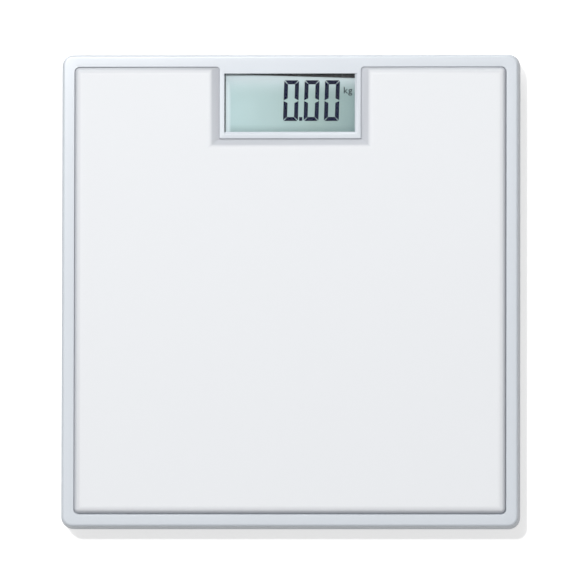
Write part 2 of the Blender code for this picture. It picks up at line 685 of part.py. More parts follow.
def display():
    """Window, gasket, liquid-crystal panel, its holder and its contact strips, top to bottom."""
    piece_of("display_window", CLEAR_ACRYLIC, lambda bm: prism(
        bm, rounded_rectangle(LENS_X, LENS_Y, WINDOW_RADIUS, WINDOW_Y), Z_LENS, Z_LENS_TOP))

    def gasket(bm):
        outer = rounded_rectangle(LENS_X, LENS_Y, WINDOW_RADIUS, WINDOW_Y)
        prism(bm, outer, Z_GASKET, Z_GASKET_TOP)

    def gasket_hole(bm):
        half_x, half_y = LENS_X - GASKET_BAND, LENS_Y - GASKET_BAND
        inner = rounded_rectangle(half_x, half_y, WINDOW_RADIUS, WINDOW_Y)
        prism(bm, inner, Z_GASKET - OVERRUN, Z_GASKET_TOP + OVERRUN)

    cut(piece_of("lcd_gasket", BLACK_FOAM, gasket), "view", gasket_hole)

    front_half = PANEL_Y
    rear_half = front_half - PANEL_LEDGE

    def panel(bm):
        side = [
            (-rear_half, Z_PANEL),
            (rear_half, Z_PANEL),
            (rear_half, Z_PANEL_LEDGE),
            (front_half, Z_PANEL_LEDGE),
            (front_half, Z_PANEL_TOP),
            (-front_half, Z_PANEL_TOP),
            (-front_half, Z_PANEL_LEDGE),
            (-rear_half, Z_PANEL_LEDGE),
        ]
        loft(bm, [
            [(x, WINDOW_Y + y, z) for y, z in side]
            for x in (-PANEL_X, PANEL_X)
        ])

    piece_of("lcd_panel", PANEL_GLASS, panel)

    pocket_x = PANEL_X + GAP
    pocket_y = PANEL_Y + GAP
    low = Z_BOARD_TOP + GAP
    top = Z_PANEL_TOP + GAP

    def holder(bm):
        prism(bm, rounded_rectangle(HOLDER_X, HOLDER_Y, HOLDER_WALL, WINDOW_Y), low, top)

    ledge = Z_PANEL_LEDGE - GAP

    def glass_room(bm):
        prism(bm, rectangle(pocket_x, pocket_y, WINDOW_Y), ledge, top + OVERRUN)

    def shelf_room(bm):
        shelf_top = Z_PANEL - GAP
        view = rectangle(pocket_x - HOLDER_SHELF, rear_half - HOLDER_SHELF, WINDOW_Y)
        rest = rectangle(pocket_x, rear_half + GAP, WINDOW_Y)
        loft(bm, [at(view, low - OVERRUN), at(view, shelf_top), at(rest, shelf_top), at(rest, ledge + GAP)])

    strip_x = PANEL_X - STRIP_END
    strip_y = front_half - PANEL_LEDGE / 2 + GAP

    def strip_slots(bm):
        half = STRIP_WIDTH / 2 + GAP
        for end in (-1, 1):
            y = WINDOW_Y + end * strip_y
            box(bm, (-strip_x - GAP, y - half, low - OVERRUN), (strip_x + GAP, y + half, Z_PANEL_LEDGE))

    frame = piece_of("lcd_holder", NATURAL_ABS, holder)
    cut(frame, "glass_room", glass_room)
    cut(frame, "shelf_room", shelf_room)
    cut(frame, "strip_slots", strip_slots)

    for name, end in (("zebra_strip_rear", 1), ("zebra_strip_front", -1)):
        y = WINDOW_Y + end * strip_y
        corners = (-strip_x, y - STRIP_WIDTH / 2, low), (strip_x, y + STRIP_WIDTH / 2, Z_PANEL_LEDGE - GAP)
        piece_of(name, GREY_RUBBER, lambda bm, corners=corners: box(bm, *corners))


# Circuit board

def circuit_board():
    """The board, staked up to the deck, and the parts under it."""
    board = piece_of("circuit_board", BOARD_LAMINATE, lambda bm: prism(
        bm, rounded_rectangle(BOARD_X, BOARD_Y, BOARD_LIP, WINDOW_Y), Z_BOARD, Z_BOARD_TOP))

    def stake_holes(bm):
        for spot in STAKE_SPOTS:
            low, high = Z_BOARD - OVERRUN, Z_BOARD_TOP + OVERRUN
            cylinder(bm, STAKE_PIN_RADIUS + GAP, low, high, spot, TINY_STEPS)

    cut(board, "stake_holes", stake_holes)

    def chip(bm):
        slices = [math.radians(90 * step / FILLET_STEPS) for step in range(FILLET_STEPS + 1)]
        dome = [(CHIP_RADIUS * math.sin(a), -CHIP_HEIGHT * math.cos(a)) for a in slices]
        turned(bm, dome + [(0, 0)], steps=SMALL_STEPS)

    piece_of("controller_chip", BLACK_EPOXY, chip, (CHIP_X, BOARD_FRONT + CHIP_INSET_Y, Z_PARTS))

    def crystal(bm):
        half = CRYSTAL_WIDTH / 2
        outline = rounded_rectangle(CRYSTAL_LENGTH / 2, half, half - MERGE)
        prism(bm, outline, -CRYSTAL_HEIGHT, 0)

    spot = (CRYSTAL_INSET_X - BOARD_X, BOARD_FRONT + CRYSTAL_INSET_Y, Z_PARTS)
    piece_of("crystal_can", NICKEL, crystal, spot)

    def capacitor(bm):
        turned(bm, [
            (0, -CAPACITOR_HEIGHT),
            (CAPACITOR_RADIUS - CAPACITOR_CHAMFER, -CAPACITOR_HEIGHT),
            (CAPACITOR_RADIUS, -CAPACITOR_HEIGHT + CAPACITOR_CHAMFER),
            (CAPACITOR_RADIUS, 0),
            (0, 0),
        ], steps=SMALL_STEPS)

    spot = (CAPACITOR_INSET_X - BOARD_X, BOARD_FRONT + CAPACITOR_INSET_Y, Z_PARTS)
    piece_of("capacitor", CELL_SLEEVE, capacitor, spot)

    def switch(bm):
        half = SWITCH_SIZE / 2
        box(bm, (-half, -half, Z_SWITCH), (half, half, Z_PARTS))

    def switch_well(bm):
        cylinder(bm, PLUNGER_RADIUS + GAP, Z_SWITCH - OVERRUN, Z_SWITCH + SWITCH_WELL, steps=SMALL_STEPS)

    spot = (BUTTON_X, BUTTON_Y, 0)
    cut(piece_of("tact_switch", BLACK_EPOXY, switch, spot), "well", switch_well)
    button = unit_button(spot)
    piece_of("switch_plunger", BLACK_EPOXY, lambda bm: cylinder(
        bm, PLUNGER_RADIUS, Z_PLUNGER, Z_PLUNGER + PLUNGER_LENGTH, steps=SMALL_STEPS), parent=button)


def unit_button(spot):
    """A round key, dished for a fingertip, whose stem reaches up to the switch's plunger."""

    def build(bm):
        low = Z_BASE - BUTTON_PROUD
        flange_top = Z_FLANGE + BUTTON_FLANGE_THICKNESS
        turned(bm, [
            (0, low + BUTTON_DISH),
            (BUTTON_RADIUS / 2, low + BUTTON_DISH * 3 / 4),
            (BUTTON_RADIUS - BUTTON_EDGE, low),
            (BUTTON_RADIUS, low + BUTTON_EDGE),
            (BUTTON_RADIUS, Z_FLANGE),
            (BUTTON_RADIUS + BUTTON_FLANGE_WIDTH, Z_FLANGE),
            (BUTTON_RADIUS + BUTTON_FLANGE_WIDTH, flange_top),
            (BUTTON_STEM_RADIUS, flange_top),
            (BUTTON_STEM_RADIUS, Z_PLUNGER - GAP),
            (0, Z_PLUNGER - GAP),
        ], steps=GUIDE_STEPS)

    return piece_of("unit_button", GREY_RUBBER, build, spot)


# Chassis

def chassis_plate():
    """Pressed steel: a channel along Y with turned-down sides, cleared for the board and the bay."""

    def channel(bm):
        outer, inner = CHASSIS_BEND, CHASSIS_BEND - CHASSIS_THICKNESS
        low = Z_CHASSIS_TOP - CHASSIS_FLANGE
        right = [(CHASSIS_X, low)]
        right += arc(outer, (CHASSIS_X - outer, Z_CHASSIS_TOP - outer), 0, 90)
        left = [(-x, z) for x, z in reversed(right)]
        bend = (CHASSIS_X - outer, Z_CHASSIS_TOP - outer)
        inside = arc(inner, bend, 90, 0) + [(CHASSIS_X - CHASSIS_THICKNESS, low)]
        profile = right + left + [(-x, z) for x, z in reversed(inside)] + inside
        loft(bm, [[(x, y, z) for x, z in profile] for y in (-CHASSIS_Y, CHASSIS_Y)])

    def board_notch(bm):
        low = (-NOTCH_X, BOARD_FRONT - 2 * BOARD_ROOM, Z_CHASSIS - OVERRUN)
        box(bm, low, (NOTCH_X, CHASSIS_Y + OVERRUN, Z_CHASSIS_TOP + OVERRUN))

    def holes(bm):
        low, high = Z_CHASSIS - OVERRUN, Z_CHASSIS_TOP + OVERRUN
        x = BLOCK_X + CHASSIS_ROOM
        box(bm, (-x, BLOCK_FRONT - CHASSIS_ROOM, low), (x, BLOCK_REAR + CHASSIS_ROOM, high))
        boss = SCREW_RADIUS + GAP + SCREW_BOSS_WALL
        for spot in SCREW_SPOTS:
            cylinder(bm, boss + CHASSIS_ROOM, low, high, spot, TINY_STEPS)
        for side, end in CORNERS.values():
            for peg_x, peg_y in peg_spots():
                spot = (side * FOOT_X + peg_x, end * FOOT_Y + peg_y)
                cylinder(bm, PEG_RADIUS + GAP, low, high, spot, TINY_STEPS)

    plate = piece_of("chassis_plate", ZINC_STEEL, channel)
    cut(plate, "board_notch", board_notch)
    cut(plate, "holes", holes)


def peg_spots():
    """The holder's two locating pegs, on a diagonal so that a half turn leaves them in place."""
    reach = CELL_HOLDER_HALF - PEG_INSET
    return [(-reach, -reach), (reach, reach)]


# Feet and load cells

def foot_mesh():
    """A moulded cup: rubber pad below, flange inside the base, boss up to the load cell."""
    core_top = Z_FLANGE_TOP
    core_low = FOOT_LIP + PAD_THICKNESS + FOOT_WEB
    outer_core = FOOT_RADIUS - FOOT_CORE_WALL
    pocket_top = PAD_THICKNESS + GAP

    def build(bm):
        turned(bm, [
            (0, pocket_top),
            (PAD_RADIUS + GAP, pocket_top),
            (PAD_RADIUS + GAP, FOOT_LIP),
            (FOOT_RADIUS - FOOT_LIP, FOOT_LIP),
            (FOOT_RADIUS, 2 * FOOT_LIP),
            (FOOT_RADIUS, Z_FLANGE),
            (FOOT_RADIUS + FOOT_FLANGE_WIDTH, Z_FLANGE),
            (FOOT_RADIUS + FOOT_FLANGE_WIDTH, core_top),
            (outer_core, core_top),
            (outer_core, core_low),
            (FOOT_BOSS_RADIUS, core_low),
            (FOOT_BOSS_RADIUS, Z_FOOT_TOP),
            (0, Z_FOOT_TOP),
        ])

    mesh = to_mesh("foot", build)
    paint(mesh, NATURAL_ABS)
    return mesh


def foot_pad_mesh():
    def build(bm):
        turned(bm, [
            (0, 0),
            (PAD_RADIUS - PAD_CHAMFER, 0),
            (PAD_RADIUS, PAD_CHAMFER),
            (PAD_RADIUS, PAD_THICKNESS),
            (0, PAD_THICKNESS),
        ])

    mesh = to_mesh("foot_pad", build)
    paint(mesh, BLACK_RUBBER)
    return mesh


def load_cell(name, place, turn):
    """A stamped frame with a loaded tongue, which bends at its root. The root is at +Y before the turn."""
    half = CELL_SIZE / 2
    slot_low = -half + CELL_FRAME
    slot_top = half - CELL_ROOT
    tongue = CELL_TONGUE / 2

    def plate(bm):
        prism(bm, rounded_rectangle(half, half, CELL_RADIUS), Z_CELL, Z_CELL_TOP)

    def slot(bm):
        outer = tongue + CELL_SLOT
        outline = [
            (-outer, slot_low),
            (outer, slot_low),
            (outer, slot_top),
            (tongue, slot_top),
            (tongue, slot_low + CELL_SLOT),
            (-tongue, slot_low + CELL_SLOT),
            (-tongue, slot_top),
            (-outer, slot_top),
        ]
        prism(bm, outline, Z_CELL - OVERRUN, Z_CELL_TOP + OVERRUN)

    cell = piece_of(name, CELL_STEEL, plate, place)
    cut(cell, "slot", slot)
    cell.rotation_euler.z = turn
    bpy.data.objects[f"{name}_slot"].rotation_euler.z = turn


def gauge_coat(name, place, turn):
    """The silicone over the gauges, on the tongue's root."""
    rings = [
        at(rectangle(COAT_LENGTH / 2 - inset, COAT_WIDTH / 2 - inset, COAT_Y), z)
        for inset, z in (
            (0, Z_SEAT),
            (0, Z_SEAT + COAT_HEIGHT - COAT_SLOPE),
            (COAT_SLOPE, Z_SEAT + COAT_HEIGHT),
        )
    ]
    piece_of(name, WHITE_SILICONE, lambda bm: loft(bm, rings), place).rotation_euler.z = turn


def cell_holder_mesh_parts():
    """The holder's outer block, the room for its cell and the notches for the lead."""
    half = CELL_HOLDER_HALF
    view = CELL_SIZE / 2 - CELL_FRAME + GAP
    lead_half = CELL_LEAD_RADIUS + LEAD_GAP

    def block(bm):
        prism(bm, rounded_rectangle(half, half, CELL_RADIUS), Z_CELL, Z_HOLDER_TOP)

    def room(bm):
        pocket = CELL_SIZE / 2 + GAP
        loft(bm, [
            at(rectangle(pocket, pocket), Z_CELL - OVERRUN),
            at(rectangle(pocket, pocket), Z_SEAT),
            at(rectangle(view, view), Z_SEAT),
            at(rectangle(view, view), Z_HOLDER_TOP + OVERRUN),
        ])

    def lead_notch(bm):
        low = (-half - OVERRUN, COAT_Y - lead_half, Z_SEAT - EMBED)
        box(bm, low, (half + OVERRUN, COAT_Y + lead_half, Z_HOLDER_TOP + OVERRUN))

    def pegs(bm):
        for spot in peg_spots():
            cylinder(bm, PEG_RADIUS, Z_SEAT + EMBED, Z_CHASSIS_TOP, spot, TINY_STEPS)

    return block, room, lead_notch, pegs


def cell_holder(name, place, turn):
    block, room, lead_notch, pegs = cell_holder_mesh_parts()
    holder = piece_of(name, NATURAL_ABS, block, place)
    cut(holder, "cell_room", room)
    cut(holder, "lead_notch", lead_notch)
    join(holder, "pegs", pegs)
    holder.rotation_euler.z = turn
    for label in ("cell_room", "lead_notch", "pegs"):
        bpy.data.objects[f"{name}_{label}"].rotation_euler.z = turn


def corners():
    """Foot, pad, cell, coating and holder, once for each corner."""
    foot, pad = foot_mesh(), foot_pad_mesh()
    for corner, (side, end) in CORNERS.items():
        place = (side * FOOT_X, end * FOOT_Y, 0)
        turn = math.pi if end > 0 else 0
        cup = place_object(f"foot_{corner}", foot, place)
        place_object(f"foot_pad_{corner}", pad, parent=cup)
        load_cell(f"load_cell_{corner}", place, turn)
        gauge_coat(f"gauge_coat_{corner}", place, turn)
        cell_holder(f"cell_holder_{corner}", place, turn)


# Base cover

def screw_seat():
    """Where a screw's head bears: the counterbore's roof, less the gap."""
    return Z_BASE + SCREW_RECESS + SCREW_HEAD_HEIGHT


def boss_top():
    """The top of the base's screw bosses, which the platform's bosses stand on."""
    return screw_seat() + GAP + SCREW_WEB


def base_cover():
    """The tray that closes the underside, with the battery bay moulded in."""
    lean = SKIRT_DRAFT * SKIRT_LAP / (Z_FILLET - Z_SKIRT)
    inset = SKIRT_WALL + lean + GAP
    half_x, half_y = WIDTH / 2 - inset, DEPTH / 2 - inset
    radius = CORNER_RADIUS - SKIRT_WALL

    def outline(drawn_in):
        corner = max(radius - drawn_in, SKIRT_WALL)
        return rounded_rectangle(half_x - drawn_in, half_y - drawn_in, corner)

    def tray(bm):
        fillet = arc(BASE_FILLET, (BASE_FILLET, Z_BASE + BASE_FILLET), 270, 180)
        rings = [at(outline(drawn_in), z) for drawn_in, z in fillet]
        inner = outline(BASE_SIDE_WALL + BASE_FILLET / 2)
        rings += [
            at(outline(0), Z_BASE_TOP),
            at(outline(BASE_SIDE_WALL), Z_BASE_TOP),
            at(outline(BASE_SIDE_WALL), Z_FLOOR + BASE_FILLET / 2),
            at(inner, Z_FLOOR),
        ]
        loft(bm, rings)

    low = Z_FLOOR - EMBED

    def standing(bm):
        """What stands on the floor: foot guides, screw bosses, pillars and the bay."""
        high = Z_FLOOR + GUIDE_HEIGHT
        for side, end in CORNERS.values():
            ring(bm, FOOT_ROOM, FOOT_ROOM + GUIDE_WALL, low, high, (side * FOOT_X, end * FOOT_Y))
        room = BUTTON_RADIUS + BUTTON_FLANGE_WIDTH + SLIDE_GAP
        ring(bm, room, room + GUIDE_WALL, low, high, (BUTTON_X, BUTTON_Y))
        for spot in SCREW_SPOTS:
            boss = SCREW_HEAD_RADIUS + GAP + GUIDE_WALL
            cylinder(bm, boss, low, boss_top(), spot, TINY_STEPS)
        for spot in PILLAR_SPOTS:
            cylinder(bm, PILLAR_RADIUS, low, Z_HOLDER_TOP, spot, TINY_STEPS)

    def bay_block(bm):
        def outline_of(half_x, front, rear):
            half_y = (rear - front) / 2
            return rounded_rectangle(half_x, half_y, DOOR_RADIUS, (rear + front) / 2)

        ledge = outline_of(POCKET_X + HINGE_WALL, POCKET_FRONT - BAY_WALL, POCKET_REAR + BAY_WALL)
        bay = outline_of(BLOCK_X, BLOCK_FRONT, BLOCK_REAR)
        loft(bm, [at(ledge, low), at(ledge, Z_LEDGE_TOP), at(bay, Z_LEDGE_TOP), at(bay, Z_BAY_TOP)])

    def through_holes(bm):
        under = Z_BASE - OVERRUN
        for side, end in CORNERS.values():
            spot = (side * FOOT_X, end * FOOT_Y)
            cylinder(bm, FOOT_RADIUS + SLIDE_GAP, under, Z_FLOOR + OVERRUN, spot)
        cylinder(bm, BUTTON_RADIUS + GAP, under, Z_FLOOR + OVERRUN, (BUTTON_X, BUTTON_Y), GUIDE_STEPS)
        seat = screw_seat() + GAP
        profile = [
            (0, under),
            (SCREW_HEAD_RADIUS + GAP, under),
            (SCREW_HEAD_RADIUS + GAP, seat),
            (SCREW_RADIUS + GAP, seat),
            (SCREW_RADIUS + GAP, boss_top() + OVERRUN),
            (0, boss_top() + OVERRUN),
        ]
        for spot in SCREW_SPOTS:
            turned(bm, profile, Matrix.Translation((*spot, 0)), TINY_STEPS)

    base = piece_of("base_cover", BASE_ABS, tray)
    join(base, "bay_block", bay_block)
    cut(base, "cradle", battery_cradle)
    cut(base, "contact_slots", contact_slots)
    cut(base, "door_pocket", door_pocket)
    cut(base, "swing_room", swing_room)
    cut(base, "hinge_room", hinge_room)
    cut(base, "latch_room", latch_room)
    cut(base, "lead_holes", battery_lead_holes)
    cut(base, "scoop", scoop)
    join(base, "standing", standing)
    cut(base, "through_holes", through_holes)


def battery_cradle(bm):
    """The bay's room: a scalloped roof that fits the cells, open below."""
    radius = BATTERY_RADIUS + BAY_CLEARANCE
    roof = []
    for x in reversed(BATTERY_XS):
        roof += arc(radius, (x, Z_BATTERY), 0, 180, CRADLE_STEPS)
    low = Z_BASE - OVERRUN
    profile = [(-BAY_X, low), (BAY_X, low)] + roof
    ends = (BAY_FRONT + SLOT_DEPTH - EMBED, BAY_REAR - SLOT_DEPTH + EMBED)
    loft(bm, [[(x, y, z) for x, z in profile] for y in ends])


def contact_slots(bm):
    """Square-topped slots at the bay's two ends, for the contact plates."""
    half_x = BATTERY_XS[-1] + CONTACT_WIDTH / 2 + GAP
    top = Z_BATTERY + CONTACT_HEIGHT / 2 + GAP
    low = Z_BASE - OVERRUN
    box(bm, (-half_x, BAY_FRONT, low), (half_x, BAY_FRONT + SLOT_DEPTH, top))
    box(bm, (-half_x, BAY_REAR - SLOT_DEPTH, low), (half_x, BAY_REAR, top))


def door_pocket(bm):
    """A flat pocket from the hinge's axis back, cut up to the ledge that the door shuts on."""
    half_y = (POCKET_REAR - HINGE_Y) / 2
    corners = rectangle(POCKET_X, half_y, HINGE_Y + half_y)
    outline = rounded(corners, [GAP, GAP, DOOR_RADIUS, DOOR_RADIUS])
    prism(bm, outline, Z_BASE - OVERRUN, Z_LEDGE)


def swing_room(bm):
    """Room in front of the barrel for the door's plate when it hangs open."""
    front = POCKET_FRONT - BARREL_GAP
    box(bm, (-DOOR_X - GAP / 2, front, Z_BASE - OVERRUN), (DOOR_X + GAP / 2, HINGE_Y + EMBED, Z_HINGE))


def hinge_room(bm):
    """A round room for the door's barrel, and a bore at each end for its pins."""
    bore = PIN_RADIUS + GAP
    room = BARREL_RADIUS + BARREL_GAP
    inner, outer = POCKET_X + GAP, DOOR_X + PIN_LENGTH + GAP
    half = [(room, inner), (bore, inner), (bore, outer), (0, outer)]
    profile = [(radius, -x) for radius, x in reversed(half)] + half
    turned(bm, profile, along_x(HINGE_Y, Z_HINGE), SMALL_STEPS)


def latch_room(bm):
    half_x = LATCH_WIDTH / 2 + GAP
    front = DOOR_REAR - LATCH_INSET - LATCH_THICKNESS - GAP
    box(bm, (-half_x, front, Z_LEDGE - EMBED), (half_x, POCKET_REAR, Z_LEDGE_TOP + OVERRUN))


def battery_lead_holes(bm):
    for x in (BATTERY_XS[0], BATTERY_XS[-1]):
        ends = (BAY_REAR - EMBED, BLOCK_REAR + OVERRUN)
        radius = BATTERY_LEAD_RADIUS + LEAD_GAP
        profile = [(0, ends[0]), (radius, ends[0]), (radius, ends[1]), (0, ends[1])]
        turned(bm, profile, along_y(x, Z_BATTERY), SMALL_STEPS)


def scoop(bm):
    """A shallow round dish across the door's free edge, for a fingernail."""
    slices = [math.radians(90 * step / FILLET_STEPS) for step in range(FILLET_STEPS + 1)]
    dome = [(SCOOP_RADIUS * math.sin(a), SCOOP_DEPTH * math.cos(a)) for a in slices]
    profile = dome + [(SCOOP_RADIUS, -OVERRUN), (0, -OVERRUN)]
    turned(bm, profile, Matrix.Translation((0, DOOR_REAR, Z_BASE)), SMALL_STEPS)


def battery_door():
    """A flush door that turns on a full-width barrel and pins, with a latch lip at its free end."""
    hinge = Vector((0, HINGE_Y, Z_HINGE))

    def local(bm):
        bmesh.ops.translate(bm, verts=bm.verts[:], vec=-hinge)

    def plate(bm):
        """The side profile of plate and barrel, drawn across the door's width."""
        meeting = math.degrees(math.asin((Z_DOOR_TOP - Z_HINGE) / BARREL_RADIUS))
        barrel = arc(BARREL_RADIUS, (HINGE_Y, Z_HINGE), meeting, 270, 2 * FILLET_STEPS)
        profile = [(DOOR_REAR, Z_BASE), (DOOR_REAR, Z_DOOR_TOP)] + barrel
        loft(bm, [[(x, y, z) for y, z in profile] for x in (-DOOR_X, DOOR_X)])
        upright = [edge for edge in bm.edges if all(v.co.y > DOOR_REAR - MERGE for v in edge.verts)]
        upright = [edge for edge in upright if abs(edge.verts[0].co.x - edge.verts[1].co.x) < MERGE]
        bmesh.ops.bevel(
            bm,
            geom=upright,
            offset=DOOR_RADIUS,
            segments=FILLET_STEPS,
            profile=0.5,
            affect="EDGES",
            material=-1,
        )
        local(bm)

    def pins(bm):
        for side in (-1, 1):
            ends = (side * (DOOR_X - EMBED), side * (DOOR_X + PIN_LENGTH))
            profile = [(0, ends[0]), (PIN_RADIUS, ends[0]), (PIN_RADIUS, ends[1]), (0, ends[1])]
            turned(bm, profile, along_x(HINGE_Y, Z_HINGE), SMALL_STEPS)
        local(bm)

    def latch(bm):
        half_x = LATCH_WIDTH / 2
        rear = DOOR_REAR - LATCH_INSET
        low, high = Z_DOOR_TOP - EMBED, Z_DOOR_TOP + LATCH_HEIGHT
        box(bm, (-half_x, rear - LATCH_THICKNESS, low), (half_x, rear, high))
        local(bm)

    def dish(bm):
        scoop(bm)
        local(bm)

    door = piece_of("battery_door", BASE_ABS, plate, hinge)
    join(door, "pins", pins)
    join(door, "latch", latch)
    cut(door, "scoop", dish)


def base_screw(name, spot):
    seat = screw_seat()
    low = seat - SCREW_HEAD_HEIGHT

    def build(bm):
        turned(bm, [
            (0, low),
            (SCREW_HEAD_RADIUS - SCREW_HEAD_EDGE, low),
            (SCREW_HEAD_RADIUS, low + SCREW_HEAD_EDGE),
            (SCREW_HEAD_RADIUS, seat),
            (SCREW_RADIUS, seat),
            (SCREW_RADIUS, seat + SCREW_LENGTH - SCREW_TIP),
            (0, seat + SCREW_LENGTH),
        ], steps=SMALL_STEPS)

    piece_of(name, ZINC_STEEL, build, (*spot, 0))


# Cells and contacts

def plate_levels():
    """The inner face of the front contact plates and of the rear ones."""
    front = BAY_FRONT + GAP + CONTACT_THICKNESS
    return front, BAY_REAR - GAP - CONTACT_THICKNESS


def battery(name, x, towards):
    """A cell whose nub points along Y, towards +1 or -1."""
    front, rear = plate_levels()
    nub_face = rear - DIMPLE_HEIGHT - GAP if towards > 0 else front + DIMPLE_HEIGHT + GAP
    back = -BATTERY_LENGTH
    shoulder = -BATTERY_NUB_LENGTH

    def build(bm):
        turned(bm, [
            (0, back),
            (BATTERY_RADIUS - 2 * BATTERY_EDGE, back),
            (BATTERY_RADIUS, back + BATTERY_EDGE),
            (BATTERY_RADIUS, shoulder - BATTERY_EDGE),
            (BATTERY_RADIUS - BATTERY_EDGE, shoulder),
            (BATTERY_NUB_RADIUS, shoulder - BATTERY_RIM_DEPTH),
            (BATTERY_NUB_RADIUS, 0),
            (0, 0),
        ], along_y(0, 0, towards), SMALL_STEPS)

    piece_of(name, CELL_SLEEVE, build, (x, nub_face, Z_BATTERY))


def contact(name, end, dimple_x, spring_x):
    """A plate at one end of the bay, with a dimple for a nub, a conical spring, or one of each."""
    front, rear = plate_levels()
    inward = -end
    face = rear if end > 0 else front
    back = face + end * CONTACT_THICKNESS
    spots = [x for x in (dimple_x, spring_x) if x is not None]
    half_x, half_z = CONTACT_WIDTH / 2, CONTACT_HEIGHT / 2

    def plate(bm):
        low = (min(spots) - half_x, min(face, back), Z_BATTERY - half_z)
        box(bm, low, (max(spots) + half_x, max(face, back), Z_BATTERY + half_z))

    def dimple(bm):
        turned(bm, [
            (0, -EMBED / 2),
            (DIMPLE_RADIUS, -EMBED / 2),
            (DIMPLE_RADIUS, 0),
            (DIMPLE_TOP_RADIUS, DIMPLE_HEIGHT),
            (0, DIMPLE_HEIGHT),
        ], Matrix.Translation((dimple_x, face, Z_BATTERY)) @ along_y(0, 0, inward), SMALL_STEPS)

    piece = piece_of(name, NICKEL, plate)
    if dimple_x is not None:
        join(piece, "dimple", dimple)
    if spring_x is not None:
        join_spring(piece, Matrix.Translation((spring_x, face, Z_BATTERY)) @ along_y(0, 0, inward))


def spring_points():
    """A conical helix from the plate to the cell, starting inside the plate's thickness."""
    count = SPRING_TURNS * SPRING_POINTS_PER_TURN
    start = -CONTACT_THICKNESS / 2
    tip = SPRING_LENGTH - SPRING_WIRE
    points = []
    for index in range(count + 1):
        share = index / count
        angle = math.tau * SPRING_TURNS * share
        radius = SPRING_FOOT_RADIUS + (SPRING_TIP_RADIUS - SPRING_FOOT_RADIUS) * share
        height = start + (tip - start) * share
        points.append(Vector((radius * math.cos(angle), radius * math.sin(angle), height)))
    return points


def spring_least_gap(points):
    """The least distance between turns, surface to surface."""
    apart = SPRING_POINTS_PER_TURN // 2
    pairs = [(a, b) for index, a in enumerate(points) for b in points[index + apart :]]
    return min((a - b).length for a, b in pairs) - 2 * SPRING_WIRE


def join_spring(piece, place):
    """Joins one unbroken wire to the contact plate."""
    curve = bpy.data.curves.new(f"{piece.name}_wire", "CURVE")
    curve.dimensions = "3D"
    curve.bevel_depth = SPRING_WIRE
    curve.bevel_resolution = 1
    curve.use_fill_caps = True
    points = spring_points()
    spline = curve.splines.new("POLY")
    spline.points.add(len(points) - 1)
    for target, point in zip(spline.points, points):
        target.co = (*(place @ point), 1)
    wire = bpy.data.objects.new(curve.name, curve)
    combine(piece, "UNION", "spring", bpy.data.meshes.new_from_object(wire))
    bpy.data.objects.remove(wire)


def batteries_and_contacts():
    """Cells that lie nub to tail in turn, and the plates that join them in series."""
    for index, x in enumerate(BATTERY_XS):
        battery(f"battery_{index + 1}", x, 1 if index % 2 == 0 else -1)
    contact("contact_positive", 1, BATTERY_XS[0], None)
    for index in range(CELL_COUNT - 1):
        end = -1 if index % 2 == 0 else 1
        contact(f"contact_link_{index + 1}", end, BATTERY_XS[index + 1], BATTERY_XS[index])
    last_end = -1 if (CELL_COUNT - 1) % 2 == 0 else 1
    contact("contact_negative", last_end, None, BATTERY_XS[-1])


# Leads

def smooth_route(points, spacing):
    """Points at an even spacing on a smooth curve through the route's own points."""
    route = [Vector(point) for point in points]
    padded = [2 * route[0] - route[1]] + route + [2 * route[-1] - route[-2]]
    line = []
    for index in range(1, len(padded) - 2):
        before, start, end, after = padded[index - 1 : index + 3]
        steps = max(round((end - start).length / spacing), 1)
        for step in range(steps):
            t = step / steps
            lean = (end - before) * t + (2 * before - 5 * start + 4 * end - after) * t**2
            bend = (3 * start - before - 3 * end + after) * t**3
            line.append(start + (lean + bend) / 2)
    return line + [route[-1]]


def lead(name, finish, radius, points, spacing):
    curve = bpy.data.curves.new(name, "CURVE")
    curve.dimensions = "3D"
    curve.bevel_depth = radius
    curve.bevel_resolution = 1
    curve.use_fill_caps = True
    line = smooth_route(points, spacing)
    spline = curve.splines.new("POLY")
    spline.points.add(len(line) - 1)
    for target, point in zip(spline.points, line):
        target.co = (*point, 1)
    paint(curve, finish)
    place_object(name, curve)


def cell_leads():
    """One lead from each cell's gauges, under the chassis and up to the board."""
    reach = CELL_HOLDER_HALF - GAP + LEAD_BEND
    for corner, (side, end) in CORNERS.items():
        y = end * (FOOT_Y - COAT_Y)
        start = FOOT_X - COAT_LENGTH / 2 - GAP
        points = [(start, y, LEAD_LEVEL), (FOOT_X - reach, y, LEAD_LEVEL)]
        if end > 0:
            pad_x, pad_y = BOARD_X - LEAD_PAD_REAR_INSET_X, BOARD_FRONT + LEAD_PAD_REAR_INSET_Y
            points += [(pad_x + 2 * LEAD_BEND, pad_y, LEAD_LEVEL)]
        else:
            pad_x, pad_y = BOARD_X - LEAD_PAD_FRONT_INSET_X, BOARD_FRONT + LEAD_PAD_FRONT_INSET_Y
            lane_x = FOOT_X - LEAD_LANE_REACH
            points += [
                (lane_x + LEAD_BEND, y, LEAD_LEVEL),
                (lane_x, y + LEAD_BEND, LEAD_LEVEL),
                (lane_x, 0, LEAD_LEVEL),
                (lane_x, pad_y - 3 * LEAD_BEND, LEAD_LEVEL),
                (pad_x + LEAD_BEND, pad_y - LEAD_BEND, LEAD_LEVEL),
            ]
        points += [(pad_x, pad_y, Z_PARTS - 2 * CELL_LEAD_RADIUS), (pad_x, pad_y, Z_PARTS)]
        route = [(side * x, y, z) for x, y, z in points]
        lead(f"cell_lead_{corner}", GREY_PVC, CELL_LEAD_RADIUS, route, 2 * LEAD_BEND)


